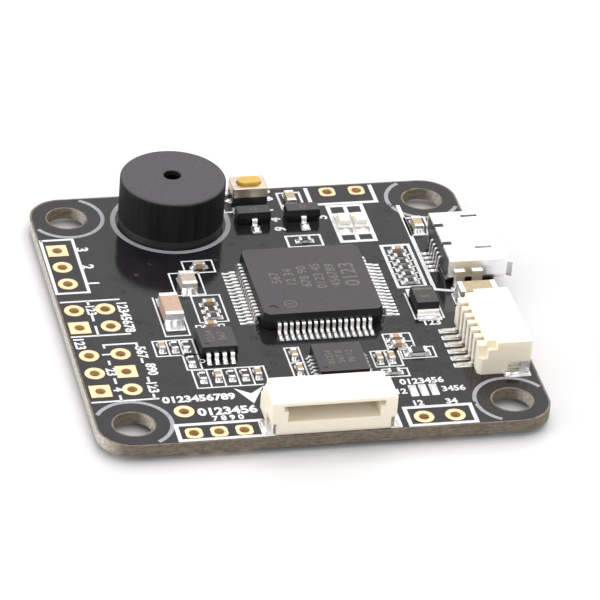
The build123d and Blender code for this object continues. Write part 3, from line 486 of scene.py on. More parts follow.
class Layer:
    """One mesh piece that is gathered from many small shapes."""

    def __init__(self, name, finish, slot, low, high):
        self.name, self.finish, self.slot = name, finish, slot
        self.low, self.high = low, high
        self.mesh = bmesh.new()

    def vert(self, x, y, z):
        return self.mesh.verts.new((x * MM, y * MM, z * MM))

    def sleeve(self, a, b, smooth=False):
        """The faces between two loops of corners."""
        for k in range(len(a)):
            j = (k + 1) % len(a)
            self.mesh.faces.new((a[k], a[j], b[j], b[k])).smooth = smooth

    def caps(self, rows):
        """The flat ends of a run of loops."""
        self.mesh.faces.new(reversed(rows[0]))
        self.mesh.faces.new(rows[-1])

    def prism(self, points, low=None, high=None):
        """An upright block on a counterclockwise outline."""
        low = self.low if low is None else low
        high = self.high if high is None else high
        bottom, top = ([self.vert(x, y, z) for x, y in points] for z in (low, high))
        self.caps([bottom, top])
        self.sleeve(bottom, top)

    def block(self, x0, y0, x1, y1, low=None, high=None):
        self.prism([(x0, y0), (x1, y0), (x1, y1), (x0, y1)], low, high)

    def pad(self, x0, y0, x1, y1, radius):
        """A block with rounded corners."""
        self.prism(rounded(x0, y0, x1, y1, radius, 3))

    def stroke(self, points, width, closed=False):
        """A flat line of even width with mitred corners."""
        count = len(points)
        rows = []
        for i, p in enumerate(points):
            before = direction(points[i - 1], p) if i > 0 or closed else None
            after = direction(p, points[(i + 1) % count]) if i < count - 1 or closed else None
            before, after = before or after, after or before
            along = (before + after).normalized()
            out = Vector((-along.y, along.x))
            sharpest = 0.35
            shift = out * (width / 2 / max(sharpest, out.dot(Vector((-after.y, after.x)))))
            left, right = Vector(p) + shift, Vector(p) - shift
            rows.append([self.vert(*left, self.high), self.vert(*right, self.high),
                         self.vert(*right, self.low), self.vert(*left, self.low)])
        for a, b in zip(rows, rows[1:] + rows[:1] if closed else rows[1:]):
            self.sleeve(a, b)
        if not closed:
            self.caps(rows)

    def frame(self, x0, y0, x1, y1, width, columns=1, rows=1):
        """A printed box, divided evenly into cells."""
        self.stroke([(x0, y0), (x1, y0), (x1, y1), (x0, y1)], width, closed=True)
        for i in range(1, columns):
            x = x0 + (x1 - x0) * i / columns
            self.stroke([(x, y0 + width / 2), (x, y1 - width / 2)], width)
        for i in range(1, rows):
            y = y0 + (y1 - y0) * i / rows
            self.stroke([(x0 + width / 2, y), (x1 - width / 2, y)], width)

    def digits(self, text, x, y, height, angle=0.0, weight=0.02, flip=False):
        """Plain numerals centred on a point, read along an angle in degrees."""
        capital_share = 0.7          # how much of a font's size its numerals fill
        letters = bpy.data.curves.new("numerals", "FONT")
        letters.body = text
        letters.size = height / capital_share
        letters.align_x = "CENTER"
        letters.align_y = "CENTER"
        letters.extrude = (self.high - self.low) / 2
        letters.offset = weight * height
        letters.resolution_u = 3
        holder = bpy.data.objects.new("numerals", letters)
        shape = bpy.data.meshes.new_from_object(holder)
        turn = Matrix.Rotation(math.radians(angle), 4, "Z")
        if flip:
            turn = Matrix.Rotation(math.pi, 4, "Y") @ turn
        centre = (x, y, (self.low + self.high) / 2)
        shape.transform(Matrix.Scale(MM, 4) @ Matrix.Translation(centre) @ turn)
        self.mesh.from_mesh(shape)
        bpy.data.meshes.remove(shape)
        bpy.data.objects.remove(holder)
        bpy.data.curves.remove(letters)

    def mound(self, x, y, half_x, half_y, height, power=2.6, rings=4, sides=14, down=False):
        """A rounded heap on an oblong footprint, standing on the layer's low level."""
        sign = -1 if down else 1
        loops = []
        for k in range(rings):
            lift = k / rings * math.pi / 2
            level = self.low + sign * height * math.sin(lift)
            loop = []
            for i in range(sides):
                t = 2 * math.pi * i / sides
                c, s = math.cos(t), math.sin(t)
                r = (abs(c) ** power + abs(s) ** power) ** (-1 / power) * math.cos(lift)
                loop.append(self.vert(x + half_x * r * c, y + half_y * r * s, level))
            loops.append(loop)
        tip = self.vert(x, y, self.low + sign * height)
        for a, b in zip(loops, loops[1:]):
            self.sleeve(a, b, smooth=True)
        for i in range(sides):
            self.mesh.faces.new((loops[-1][i], loops[-1][(i + 1) % sides], tip)).smooth = True
        self.mesh.faces.new(reversed(loops[0]))

    def ramp(self, x, y, out, half, reach, rise, down=False):
        """A concave solder fillet that climbs a wall at (x, y) and runs out along direction out."""
        steps, thinnest = 5, 0.012
        sign = -1 if down else 1
        rows = []
        for i in range(steps + 1):
            t = i / steps
            level = self.low + sign * (rise * (1 - t) ** 2.2 + thinnest)
            wide = half * (1 - 0.25 * t ** 3)
            px, py = x + out[0] * reach * t, y + out[1] * reach * t
            left = (px - out[1] * wide, py + out[0] * wide)
            right = (px + out[1] * wide, py - out[0] * wide)
            rows.append([self.vert(*left, level), self.vert(*right, level),
                         self.vert(*right, self.low), self.vert(*left, self.low)])
        for a, b in zip(rows, rows[1:]):
            self.sleeve(a, b, smooth=True)
        self.caps(rows)

    def done(self):
        """Make the piece, with its faces turned outward, and let it ride on the board."""
        bmesh.ops.recalc_face_normals(self.mesh, faces=self.mesh.faces)
        data = bpy.data.meshes.new(self.name)
        self.mesh.to_mesh(data)
        self.mesh.free()
        data.materials.clear()
        data.materials.append(FINISHES[self.finish])
        return add_piece(self.name, data)


def add_piece(name, data):
    piece = bpy.data.objects.new(name, data)
    bpy.context.scene.collection.objects.link(piece)
    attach(piece, BODY)
    return piece


def sheet_with_holes(name, outline, holes, low, high, finish):
    """A thin flat sheet with openings, filled as one flat curve."""
    curve = bpy.data.curves.new(name, "CURVE")
    curve.dimensions = "2D"
    curve.fill_mode = "BOTH"
    curve.extrude = (high - low) / 2
    for loop in [outline] + holes:
        line = curve.splines.new("POLY")
        line.points.add(len(loop) - 1)
        for point, (x, y) in zip(line.points, loop):
            point.co = (x, y, 0.0, 1.0)
        line.use_cyclic_u = True
    holder = bpy.data.objects.new(name, curve)
    data = bpy.data.meshes.new_from_object(holder)
    data.name = name
    data.transform(Matrix.Scale(MM, 4) @ Matrix.Translation((0, 0, (low + high) / 2)))
    data.materials.clear()
    data.materials.append(FINISHES[finish])
    bpy.data.objects.remove(holder)
    bpy.data.curves.remove(curve)
    return add_piece(name, data)


def islands(node):
    """Lowest and highest corners, in millimetres, of each separate solid in a CAD node."""
    shape = bmesh.new()
    shape.from_mesh(nodes[node].data)
    bmesh.ops.remove_doubles(shape, verts=shape.verts, dist=1e-7)
    left = set(shape.verts)
    boxes = []
    while left:
        group, edge = [], [left.pop()]
        while edge:
            v = edge.pop()
            group.append(v.co / MM)
            for e in v.link_edges:
                w = e.other_vert(v)
                if w in left:
                    left.remove(w)
                    edge.append(w)
        boxes.append((Vector(map(min, *group)), Vector(map(max, *group))))
    shape.free()
    return sorted(boxes, key=lambda b: (round(b[0].x, 3), round(b[0].y, 3)))


def middle(box):
    return (box[0] + box[1]) / 2


def size_xy(box):
    return box[1].x - box[0].x, box[1].y - box[0].y


def outward(centre, spot):
    """The direction along x or y that points away from a centre most nearly."""
    away = spot - centre
    return (math.copysign(1, away.x), 0) if abs(away.x) > abs(away.y) else (0, math.copysign(1, away.y))


def side_point(box, out, inset=0.0):
    """The middle of the side of a box that faces along out, moved in by inset."""
    mid, size = middle(box), size_xy(box)
    return mid.x + out[0] * (size[0] / 2 - inset), mid.y + out[1] * (size[1] / 2 - inset)


# ---------------------------------------------------------------- solder mask and copper
RIM = 0.16                          # bare laminate left along cut edges


def make_mask():
    """The lacquer on both faces, open round each mounting hole and each header hole."""
    half = board_high.x - RIM
    outline = rounded(-half, -half, half, half, 2.7, 10)
    openings = [circle(x, y, HOLE_RADIUS + RIM, 48) for x, y in HOLES]
    barrels = [middle(b) for b in islands("plated_holes")]
    openings += [circle(c.x, c.y, 0.62, 20) for c in barrels]
    for side, low, high in (("top", FACE + CLEAR, MASK_TOP),
                            ("underside", UNDERSIDE - MASK, UNDERSIDE - CLEAR)):
        sheet_with_holes("solder_mask_" + side, outline, openings, low, high, "mask")


# bundles of traces: the first one's route, how many side by side, and the step between them
TOP_BUNDLES = [
    ([(-12.4, 2.6), (-12.4, -0.6), (-11.2, -1.8), (-11.2, -3.6)], 3, (0.34, 0.0)),
    ([(-13.6, 6.0), (-11.6, 4.0), (-11.6, 2.9)], 4, (0.32, 0.0)),
    ([(-10.6, 9.2), (-10.6, 6.4), (-9.6, 5.4)], 3, (0.36, 0.0)),
    ([(-3.4, -6.0), (-2.2, -7.2), (-2.2, -11.4)], 3, (0.34, 0.0)),
    ([(-1.6, 8.3), (-1.6, 10.4), (-2.4, 11.2)], 3, (0.34, 0.0)),
    ([(7.6, -3.4), (9.2, -3.4), (9.9, -4.1), (9.9, -6.6)], 3, (0.34, 0.34)),
    ([(8.2, -9.6), (9.8, -9.6), (11.4, -9.6), (12.0, -9.0)], 3, (0.0, -0.36)),
    ([(-8.2, -11.7), (-3.4, -11.7), (-2.6, -10.9)], 2, (0.0, 0.34)),
    ([(5.4, 8.6), (5.4, 9.4), (6.2, 10.2), (6.2, 14.4)], 2, (0.34, 0.0)),
    ([(10.4, 9.6), (10.4, 13.4), (11.6, 14.6)], 4, (0.36, 0.0)),
    ([(-12.2, -7.0), (-12.2, -9.4), (-11.4, -10.2), (-9.8, -10.2)], 2, (0.34, 0.34)),
    ([(12.6, -10.6), (12.0, -11.2), (12.0, -13.0)], 3, (-0.32, 0.0)),
]
UNDER_BUNDLES = [
    ([(-15.0, 9.6), (-9.0, 9.6), (-6.0, 6.6), (-6.0, 4.6)], 5, (0.4, 0.4)),
    ([(-14.0, -8.0), (-9.0, -8.0), (-7.0, -6.0)], 6, (0.0, -0.4)),
    ([(2.0, 2.2), (6.0, 2.2), (9.0, -0.8), (9.0, -9.0)], 6, (0.4, 0.4)),
    ([(-3.0, 8.0), (0.0, 8.0), (3.6, 11.6), (10.0, 11.6)], 5, (0.0, 0.4)),
    ([(-4.0, -12.0), (4.0, -12.0), (7.0, -15.0)], 7, (0.0, 0.4)),
    ([(12.4, 8.0), (12.4, 1.0), (14.0, -0.6), (14.0, -7.0)], 5, (0.4, 0.0)),
    ([(-13.0, 2.0), (-8.4, 2.0), (-8.4, -1.2)], 4, (-0.4, -0.4)),
]
TOP_VIAS = [
    (8.25, -9.1), (8.95, -9.35), (9.7, -9.05), (10.5, -9.3), (11.1, -10.1), (8.5, -10.2), (9.4, -10.5),
    (10.3, -10.9), (7.4, -4.2), (8.5, -4.3), (9.6, -4.6), (-2.9, -7.0), (-2.6, -8.1), (-3.0, -9.4),
    (-1.9, -5.6), (-12.4, -1.2), (-11.6, -2.9), (-12.7, 3.5), (-11.0, 6.0), (-9.7, 7.5), (5.9, -6.3),
    (4.7, -5.75), (3.1, -5.8), (1.2, -5.9), (0.6, -6.8), (6.9, -6.0), (11.0, -6.2), (11.4, -7.4),
    (10.9, -4.7), (-12.5, -10.4), (-10.3, -7.4), (-11.2, -8.3), (-9.9, -11.4), (9.8, 0.6), (9.6, 3.1),
    (9.7, 6.0), (10.2, 9.9), (11.6, 12.2), (12.1, 13.6), (6.3, 8.9), (-3.9, -11.0), (0.3, 9.4),
    (-4.2, 7.6), (-2.3, 9.8), (12.1, -15.4), (13.0, -11.9), (-3.4, -4.4), (-7.4, -11.5), (-13.9, 2.9),
]


def make_traces():
    """Traces as low ridges under the lacquer."""
    sink = 0.005
    for name, bundles, low, high in (
        ("traces_top", TOP_BUNDLES, MASK_TOP - sink, MASK_TOP + COPPER / 2),
        ("traces_underside", UNDER_BUNDLES, UNDERSIDE - MASK - COPPER / 2, UNDERSIDE - MASK + sink),
    ):
        layer = Layer(name, "mask", "board", low, high)
        for route, count, step in bundles:
            for i in range(count):
                layer.stroke([(x + step[0] * i, y + step[1] * i) for x, y in route], 0.17)
        layer.done()


def scatter_vias():
    """Places for the vias underneath, clear of the parts, the mounting holes and each other."""
    spread = random.Random(5)
    blocked = [box_mm(n) for n in ("crystal_base", "memory_chip_body")]
    for node in ("under_capacitor_bodies", "under_resistor_bodies", "buzzer_pins"):
        blocked += islands(node)
    gap, hole_gap, edge = 0.9, 3.4, 16.5
    headers_end, front_row_end = -13.2, -12.5
    spots = []
    while len(spots) < 110:
        x, y = spread.uniform(-edge, edge), spread.uniform(-edge, edge)
        near_part = any(low.x - gap < x < high.x + gap and low.y - gap < y < high.y + gap
                        for low, high in blocked)
        near_hole = any(math.hypot(x - hx, y - hy) < hole_gap for hx, hy in HOLES)
        near_via = any(math.hypot(x - vx, y - vy) < gap for vx, vy in spots)
        if not (near_part or near_hole or near_via or x < headers_end or y < front_row_end):
            spots.append((x, y))
    return spots


def make_vias():
    """The small plated through holes: a low lacquered land with a mouth painted near black as painted shade.
    """
    ring, mouth, height = 0.27, 0.12, 0.012
    for side, spots, level, sign in (("top", TOP_VIAS, MASK_TOP, 1),
                                     ("underside", scatter_vias(), UNDERSIDE - MASK, -1)):
        lands = Layer("via_lands_" + side, "mask", "board", level, level)
        near, far = level + sign * height / 2, level + sign * (height + CLEAR)
        # the mouths are near-black discs: painted shade in place of the open holes
        mouths = Layer("via_mouths_" + side, "via", "board", min(near, far), max(near, far))
        for x, y in spots:
            lands.mound(x, y, ring, ring, height, power=2.0, rings=2, sides=16, down=sign < 0)
            mouths.prism(circle(x, y, mouth, 12))
        lands.done()
        mouths.done()


# ---------------------------------------------------------------- printing on the board
THIN, LINE, WIDE = 0.14, 0.2, 0.34  # widths of printed lines


def clipped_ring(layer, x, y, radius, width, start):
    """A printed ring, cut off where it would leave the board, which is around the start angle."""
    limit, bend = board_high.x - 0.3, 2.5

    def on_board(p):
        return math.hypot(*(max(0, abs(v) - limit + bend) for v in p)) <= bend

    for printed, run in itertools.groupby(arc(x, y, radius, start, start + 360, 96), on_board):
        points = list(run)
        if printed and len(points) > 1:
            layer.stroke(points, width)


def print_hole_rings(layer):
    for x, y in HOLES:
        clipped_ring(layer, x, y, 3.02, 0.34, math.degrees(math.atan2(y, x)))


def print_left_headers(layer):
    """Boxes, divider dashes and numerals round the three blocks of plated holes on the left."""
    layer.stroke([(-18.0, 12.0), (-18.0, 3.8), (-15.35, 3.8), (-15.35, 11.9), (-18.0, 11.9)], 0.26)
    for number, y in (("3", 10.25), ("2", 7.6), ("1", 5.1)):
        layer.digits(number, -14.85, y, 0.95, -90, 0.05)
    layer.stroke([(-18.0, 2.5), (-13.1, 2.5)], LINE)
    layer.stroke([(-18.0, -2.62), (-13.1, -2.62)], LINE)
    for low, high in ((1.9, 2.5), (-0.5, 0.4), (-2.6, -1.2)):
        layer.stroke([(-15.75, low), (-15.75, high)], LINE)
    layer.digits("123", -15.72, 1.15, 0.72, -90, 0.05)
    layer.digits("12345678", -13.1, -0.1, 0.8, -90, 0.05)
    layer.digits("123", -17.5, -3.62, 0.8, -90, 0.05)
    layer.stroke([(-15.6, -4.5), (-15.6, -4.02), (-12.95, -4.02), (-12.95, -4.6)], LINE)
    for low, high in ((-6.9, -6.3), (-9.6, -8.8), (-12.0, -11.2)):
        layer.stroke([(-15.6, low), (-15.6, high)], LINE)
    for low, high in ((-6.9, -6.2), (-9.6, -8.9), (-12.0, -11.3)):
        layer.stroke([(-12.95, low), (-12.95, high)], LINE)
    for number, x, y in (("1", -15.6, -5.4), ("23", -15.7, -7.9), ("4", -15.6, -10.4), ("567", -12.8, -5.35),
                         ("890", -12.45, -7.85), ("123", -12.85, -10.35)):
        layer.digits(number, x, y, 0.78, -90, 0.05)
    layer.stroke([(-18.0, -12.0), (-12.6, -12.0)], LINE)


def print_front(layer):
    """The front edge: two boxed pad rows, rows of numerals and the arrow for forward."""
    layer.frame(-12.05, -17.95, -5.3, -15.85, WIDE)
    layer.frame(6.35, -17.95, 11.7, -15.5, WIDE)
    layer.prism([(-6.5, -11.25), (-5.3, -13.5), (-4.1, -11.2), (-5.25, -12.1)])
    for text, x, y, height, weight in (
        ("0123456", -7.6, -14.3, 0.95, 0.06), ("7 8 9 0", -7.75, -15.25, 0.62, 0.06),
        ("0123456789", -9.5, -12.35, 0.82, 0.06), ("12", 7.6, -14.95, 0.68, 0.06),
        ("34", 10.35, -14.95, 0.68, 0.06), ("0123456", 8.65, -11.9, 0.72, 0.05),
        ("12", 6.65, -13.2, 0.68, 0.05), ("3456", 10.95, -13.2, 0.68, 0.05),
    ):
        layer.digits(text, x, y, height, 0, weight)


# printed boxes round the small parts: two corners, the line's width, then columns and rows of cells
PART_BOXES = [
    (-8.4, 2.5, -5.95, 5.85, THIN, 1, 1), (-7.0, 5.75, -4.5, 7.55, THIN, 1, 1),
    (-7.25, -1.65, -4.9, 2.3, THIN, 1, 1), (-11.65, -6.15, -8.4, -3.95, THIN, 3, 1),
    (-9.6, -8.3, -8.4, -6.15, THIN, 1, 1), (-9.3, -10.95, -3.5, -8.4, THIN, 5, 1),
    (-1.3, -10.4, -0.15, -6.05, THIN, 1, 2), (7.05, -7.3, 9.3, -4.95, THIN, 1, 2),
    (5.5, -9.55, 7.75, -7.3, THIN, 2, 1), (7.95, -8.6, 10.7, -7.1, THIN, 1, 1),
    (5.85, -11.05, 7.9, -9.95, THIN, 1, 1), (2.4, 8.8, 5.3, 10.5, LINE, 1, 1),
    (10.05, 1.8, 12.35, 8.2, 0.28, 1, 1), (6.95, 9.2, 9.85, 14.8, WIDE, 2, 1),
    (13.0, 9.6, 14.7, 12.3, LINE, 1, 1), (3.1, 14.8, 5.0, 17.3, LINE, 1, 1),
]
PART_BRACKETS = [
    ([(-10.4, 2.45), (-10.4, -3.35), (-8.4, -3.35), (-8.4, 2.45)], THIN),
    ([(-7.7, -2.45), (-7.7, -2.05), (-5.4, -2.05), (-5.4, -2.45)], THIN),
    ([(10.3, 0.9), (10.3, -3.0), (12.7, -3.0), (12.7, 0.9)], THIN),
    ([(5.7, 17.9), (5.7, 15.2), (11.3, 15.2), (11.3, 17.9)], WIDE),
    ([(12.95, 14.4), (12.95, 1.2), (14.7, 0.75)], WIDE),
    ([(-1.9, 16.0), (-1.9, 14.75), (2.3, 14.75)], LINE),
]


def print_part_boxes(layer):
    """Outlines round the small parts, and numerals beside the larger ones."""
    for x0, y0, x1, y1, width, columns, rows in PART_BOXES:
        layer.frame(x0, y0, x1, y1, width, columns, rows)
    for route, width in PART_BRACKETS:
        layer.stroke(route, width)
    for y in (2.9, 3.85, 4.8, 5.75, 6.7):
        layer.stroke([(10.1, y), (10.5, y)], THIN)
        layer.stroke([(11.9, y), (12.3, y)], THIN)
    layer.digits("123", 11.5, -3.65, 0.75, 0, 0.04)
    for number, x, y in (("4", 2.15, 13.2), ("5", 6.15, 13.2), ("9", 2.3, 11.7)):
        layer.digits(number, x, y, 0.9, 80, 0.05)
    layer.stroke(circle(-8.2, -7.15, 0.22, 16), 0.1, closed=True)
    layer.stroke(circle(9.15, -6.95, 0.16, 12), 0.08, closed=True)


def print_buzzer_ring(layer):
    """The ring that marks the buzzer's place, and the dot at the motion sensor's first terminal."""
    base = box_mm("buzzer_base")
    centre = middle(base)
    clipped_ring(layer, centre.x, centre.y, size_xy(base)[0] / 2 + 0.5, 0.42, 90)
    layer.prism(circle(-0.9, -11.7, 0.18, 16))


def print_underside(layer):
    """Outlines round the parts underneath, and numerals beside the rows of holes."""
    margin = 0.35
    for node in ("crystal_base", "memory_chip_body"):
        low, high = box_mm(node)
        layer.frame(low.x - margin - 0.3, low.y - margin, high.x + margin + 0.3, high.y + margin, LINE)
    for bodies in ("under_capacitor_bodies", "under_resistor_bodies"):
        for low, high in islands(bodies):
            wide, deep = size_xy((low, high))
            dx, dy = (0.75, 0.25) if wide > deep else (0.25, 0.75)
            layer.frame(low.x - dx, low.y - dy, high.x + dx, high.y + dy, THIN)
    for text, x, y, height in (
        ("1 2 3", -12.6, 7.4, 0.9), ("4 5", -12.0, 0.0, 0.9), ("6 7 8", -11.6, -8.0, 0.9),
        ("01", 5.2, 7.3, 0.8), ("02", -6.0, -7.0, 0.8), ("1 2 3 4 5 6 7 8", 0.0, -14.6, 1.1),
        ("9 0", 10.0, 14.0, 1.3),
    ):
        layer.digits(text, x, y, height, 0, 0.04, flip=True)


def make_print():
    rings_top = INK_TOP - 0.003
    # the rings are printed in the ink painted darker as painted shade
    for name, finish, low, high, sheets in (
        ("printing_rings", "painted_shade_ink", MASK_TOP, rings_top, (print_hole_rings, print_buzzer_ring)),
        ("printing_top", "ink", MASK_TOP, INK_TOP, (print_left_headers, print_front, print_part_boxes)),
        ("printing_underside", "ink", UNDERSIDE - MASK - INK, UNDERSIDE - MASK,
         (print_hole_rings, print_underside)),
    ):
        layer = Layer(name, finish, "lamp_white", low, high)
        for draw in sheets:
            draw(layer)
        layer.done()


# ---------------------------------------------------------------- solder
SINK = 0.002                        # how far a land's foot reaches into the lacquer


def solder_layer(name, thickness=0.02):
    """A layer for tinned lands on the top face and the solder that stands on them."""
    return Layer(name, "solder", "solder", MASK_TOP - SINK, MASK_TOP + thickness)


def land(layer, x, y, out, half, back, past, corner):
    """A tinned land round (x, y): back behind it, past ahead of it along out, and half to each side."""
    wide_x, wide_y = abs(out[1]) * half, abs(out[0]) * half
    ends_x, ends_y = (x - out[0] * back, x + out[0] * past), (y - out[1] * back, y + out[1] * past)
    layer.pad(min(ends_x) - wide_x, min(ends_y) - wide_y, max(ends_x) + wide_x, max(ends_y) + wide_y, corner)


def solder_end(layer, box, out, half, back, past, corner, fillet):
    """A land round a lead's end, and a fillet of a half width, reach and rise that climbs the end."""
    land(layer, *side_point(box, out), out, half, back, past, corner)
    layer.ramp(*side_point(box, out, 0.02), out, *fillet)


def make_processor_solder():
    """A tinned land under each of the processor's leads, with solder over its toe and heel."""
    layer = solder_layer("processor_solder")
    leads = box_mm("processor_leads")
    centre, reach = middle(leads).xy, size_xy(leads)[0] / 2
    pitch, count = 0.5, 16
    for side in range(4):
        turn = Matrix.Rotation(math.radians(90 * side), 2)
        out = turn @ Vector((1, 0))
        wide = turn @ Vector((0, 0.15))
        for i in range(count):
            across = (i - (count - 1) / 2) * pitch
            near, far, toe, heel = (centre + turn @ Vector((reach + along, across))
                                    for along in (-0.95, 0.62, -0.02, -0.56))
            layer.prism([near - wide, far - wide, far + wide, near + wide])
            layer.ramp(*toe, out, 0.14, 0.55, 0.13)
            layer.ramp(*heel, -out, 0.11, 0.3, 0.12)
    layer.done()


def make_chip_solder():
    """Solder at the regulator's, diode's and transistors' leads and at the leadless chips' terminals."""
    layer = solder_layer("chip_solder")
    for node, half, past, rise in (("regulator_leads", 0.18, 0.22, 0.14), ("diode_leads", 1.0, 0.55, 0.12)):
        centre = middle(box_mm(node))
        for box in islands(node):
            out = (0, math.copysign(1, middle(box).y - centre.y))
            solder_end(layer, box, out, half, 0.6, past, 0.06, (half * 0.85, past * 0.85, rise))
    bodies = [middle(b) for b in islands("transistor_bodies")]
    for box in islands("transistor_leads"):
        mid = middle(box)
        body = min(bodies, key=lambda b: abs(b.x - mid.x))
        out = (0, math.copysign(1, mid.y - body.y))
        solder_end(layer, box, out, 0.38, 0.5, 0.75, 0.1, (0.34, 0.675, 0.2))
    layer.done()
    for chip, level in (("motion_sensor", MASK_TOP), ("memory_chip", UNDERSIDE - MASK)):
        layer = Layer(chip + "_solder", "solder", "solder", level, level)
        centre = middle(box_mm(chip + "_terminals"))
        for box in islands(chip + "_terminals"):
            out = outward(centre, middle(box))
            layer.ramp(*side_point(box, out), out, 0.15, 0.22, 0.14, level < 0)
        layer.done()


# each kind of small part: the endings of its body's and ends' nodes, and how far its lands reach past it
SMALL_PARTS = [
    ("large_capacitor", "_body", "_ends", 0.85), ("medium_capacitor", "_body", "_ends", 0.45),
    ("input_capacitor", "_body", "_ends", 0.4), ("bypass_capacitor", "_bodies", "_ends", 0.4),
    ("small_capacitor", "_bodies", "_ends", 0.3), ("resistor", "_bodies", "_ends", 0.32),
    ("lamp", "_bases", "_terminals", 0.75), ("under_capacitor", "_bodies", "_ends", 0.28),
    ("under_resistor", "_bodies", "_ends", 0.28),
]


def make_small_part_solder():
    """Lands and climbing fillets at both ends of every capacitor, resistor and lamp."""
    top = solder_layer("passive_solder", 0.022)
    below = Layer("underside_solder", "solder", "solder", UNDERSIDE - MASK, UNDERSIDE - MASK)
    for stem, body_ending, end_ending, past in SMALL_PARTS:
        down = stem.startswith("under")
        layer = below if down else top
        bodies = [middle(b) for b in islands(stem + body_ending)]
        for box in islands(stem + end_ending):
            mid = middle(box)
            out = outward(min(bodies, key=lambda c: (c - mid).length), mid)
            wide, deep = size_xy(box)
            reach, across = (wide / 2, deep) if out[0] else (deep / 2, wide)
            half = max(across, 0.2) / 2
            wall = side_point(box, out, 0.02)
            if not down:
                land(layer, *wall, out, half + 0.05, reach * 1.4, past, 0.07)
            layer.ramp(*wall, out, half, past * 0.9, (box[1].z - box[0].z) * 0.62, down)
    top.done()
    below.done()


def make_connector_solder():
    """Lands and solder at the wire sockets' feet and tabs, the USB socket, the button and the jumpers."""
    layer = solder_layer("connector_solder", 0.025)
    sockets = (("eight_pin", (0, 1)), ("six_pin", (-1, 0)))
    for socket, out in sockets:
        half_x, half_y = (0.26, 0.5) if out[1] else (0.5, 0.26)
        for box in islands(socket + "_contacts"):
            solder_end(layer, box, out, 0.3, 1.25, 0.3, 0.08, (0.22, 0.3, 0.15))
            layer.mound(*side_point(box, out, 0.35), half_x, half_y, 0.1)
    for socket, out in sockets:
        centre = middle(box_mm(socket + "_tabs"))
        for box in islands(socket + "_tabs"):
            size = size_xy(box)
            length = size[1] if out[1] else size[0]
            land(layer, *side_point(box, out), out, 0.55, length + 0.05, 0.35, 0.1)
            away = middle(box) - centre
            side = (math.copysign(1, away.x), 0) if out[1] else (0, math.copysign(1, away.y))
            x, y = side_point(box, side, 0.25)
            layer.ramp(x + out[0] * 0.15, y + out[1] * 0.15, side, 0.95, 0.42, 0.3)
    for box in islands("usb_contacts"):
        solder_end(layer, box, (-1, 0), 0.2, 0.75, 0.35, 0.06, (0.15, 0.3, 0.12))
        layer.mound(box[0].x + 0.3, middle(box).y, 0.34, 0.17, 0.14)
    shell_low, shell_high = box_mm("usb_shell")
    for x in (shell_low.x + 0.9, shell_high.x - 2.9):
        for y in (shell_low.y + 0.15, shell_high.y - 0.15):
            layer.mound(x, y, 0.75, 0.55, 0.3)
    for node, half_x, half_y, height, power in (("button_leads", 0.42, 0.3, 0.16, 2.6),
                                                ("jumper_pads", 0.29, 0.78, 0.13, 4.0)):
        for box in islands(node):
            layer.mound(*middle(box).xy, half_x, half_y, height, power)
    layer.done()


# ---------------------------------------------------------------- marks on the parts
def mark_layer(name, node):
    """A layer for laser marks on the top of a CAD node."""
    top = box_mm(node)[1].z
    return Layer(name, "mark", "chip_plastic", top + CLEAR, top + 0.004)


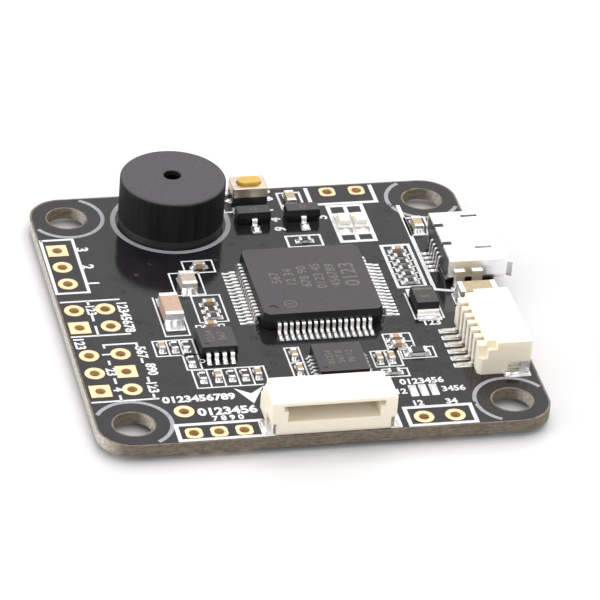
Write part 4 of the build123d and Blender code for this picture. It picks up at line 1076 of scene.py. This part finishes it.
def make_marks():
    """Laser-marked numerals on the chips, the processor's ringed mark and the diode's band."""
    # each chip: how far its rows are shifted from its middle, and each row's text, place and height
    chips = (
        ("processor", 0.0, 0.4,
         (("0123", -3.3, 1.25), ("456789", -1.9, 0.8), ("0123 45", -0.7, 0.8), ("678 90", 0.5, 0.8),
          ("12 34", 1.7, 0.8), ("567", 2.9, 0.8))),
        ("regulator", 0.0, 0.1, (("1234", 0.5, 0.6), ("567", -0.45, 0.6))),
        ("motion_sensor", 0.2, 0.0,
         (("01234", 1.05, 0.55), ("567 8", 0.2, 0.55), ("90 12", -0.65, 0.55))),
    )
    for chip, shift_x, shift_y, rows in chips:
        layer = mark_layer(chip + "_marks", chip + "_body")
        centre = middle(box_mm(chip + "_body"))
        for text, along, height in rows:
            layer.digits(text, centre.x - along + shift_x, centre.y + shift_y, height, 90, 0.01)
        if chip == "processor":
            spot = (centre.x - 2.5, centre.y - 3.5)
            layer.stroke(circle(*spot, 0.5, 28), 0.09, closed=True)
            layer.digits("1", *spot, 0.5, 90, 0.02)
        layer.done()
    layer = mark_layer("small_chip_marks", "transistor_bodies")
    for text, box in zip(("12", "34"), islands("transistor_bodies")):
        layer.digits(text, *middle(box).xy, 0.5, 0, 0.01)
    layer.done()
    low, high = box_mm("diode_body")
    layer = mark_layer("diode_band", "diode_body")
    layer.block(low.x + 0.2, high.y - 0.62, high.x - 0.2, high.y - 0.4)
    layer.digits("5", (low.x + high.x) / 2, (low.y + high.y) / 2 - 0.3, 0.6, 90, 0.01)
    layer.done()


def make_resistor_trim():
    """The white ceramic edge that shows under each resistor's black top glaze."""
    grow, glaze_start = 0.012, 0.72
    layer = Layer("resistor_edges", "resistor_ceramic", "lamp_white", 0.0, 0.0)
    for low, high in islands("resistor_bodies"):
        wide, deep = size_xy((low, high))
        dx, dy = (0, grow) if wide > deep else (grow, 0)
        layer.block(low.x - dx, low.y - dy, high.x + dx, high.y + dy,
                    low.z, low.z + (high.z - low.z) * glaze_start)
    layer.done()


def make_lamp_chips():
    """The light-emitting chip inside each lamp's resin."""
    half, height = 0.16, 0.12
    layer = Layer("lamp_chips", "gold_plate", "gold_plate", 0.0, 0.0)
    for box in islands("lamp_bases"):
        x, y, floor = middle(box).x, middle(box).y, box[1].z
        layer.prism(rounded(x - half, y - half, x + half, y + half, 0.03, 2), floor, floor + height)
    layer.done()


# ---------------------------------------------------------------- assembly
bpy.context.scene.view_settings.view_transform = "Standard"
make_camera()
make_world()
area_light("overhead", (0.06, 0.10, 0.30), 0.30, 0.55)
area_light("back_right", (0.25, 0.22, 0.16), 0.16, 0.14)
area_light("front_fill", (0.02, -0.30, 0.15), 0.26, 0.4)
area_light("left", (-0.34, -0.02, 0.09), 0.2, 0.7)
make_floor(tabletop())
dress_nodes()
make_mask()
make_traces()
make_vias()
make_print()
make_processor_solder()
make_chip_solder()
make_small_part_solder()
make_connector_solder()
make_marks()
make_resistor_trim()
make_lamp_chips()
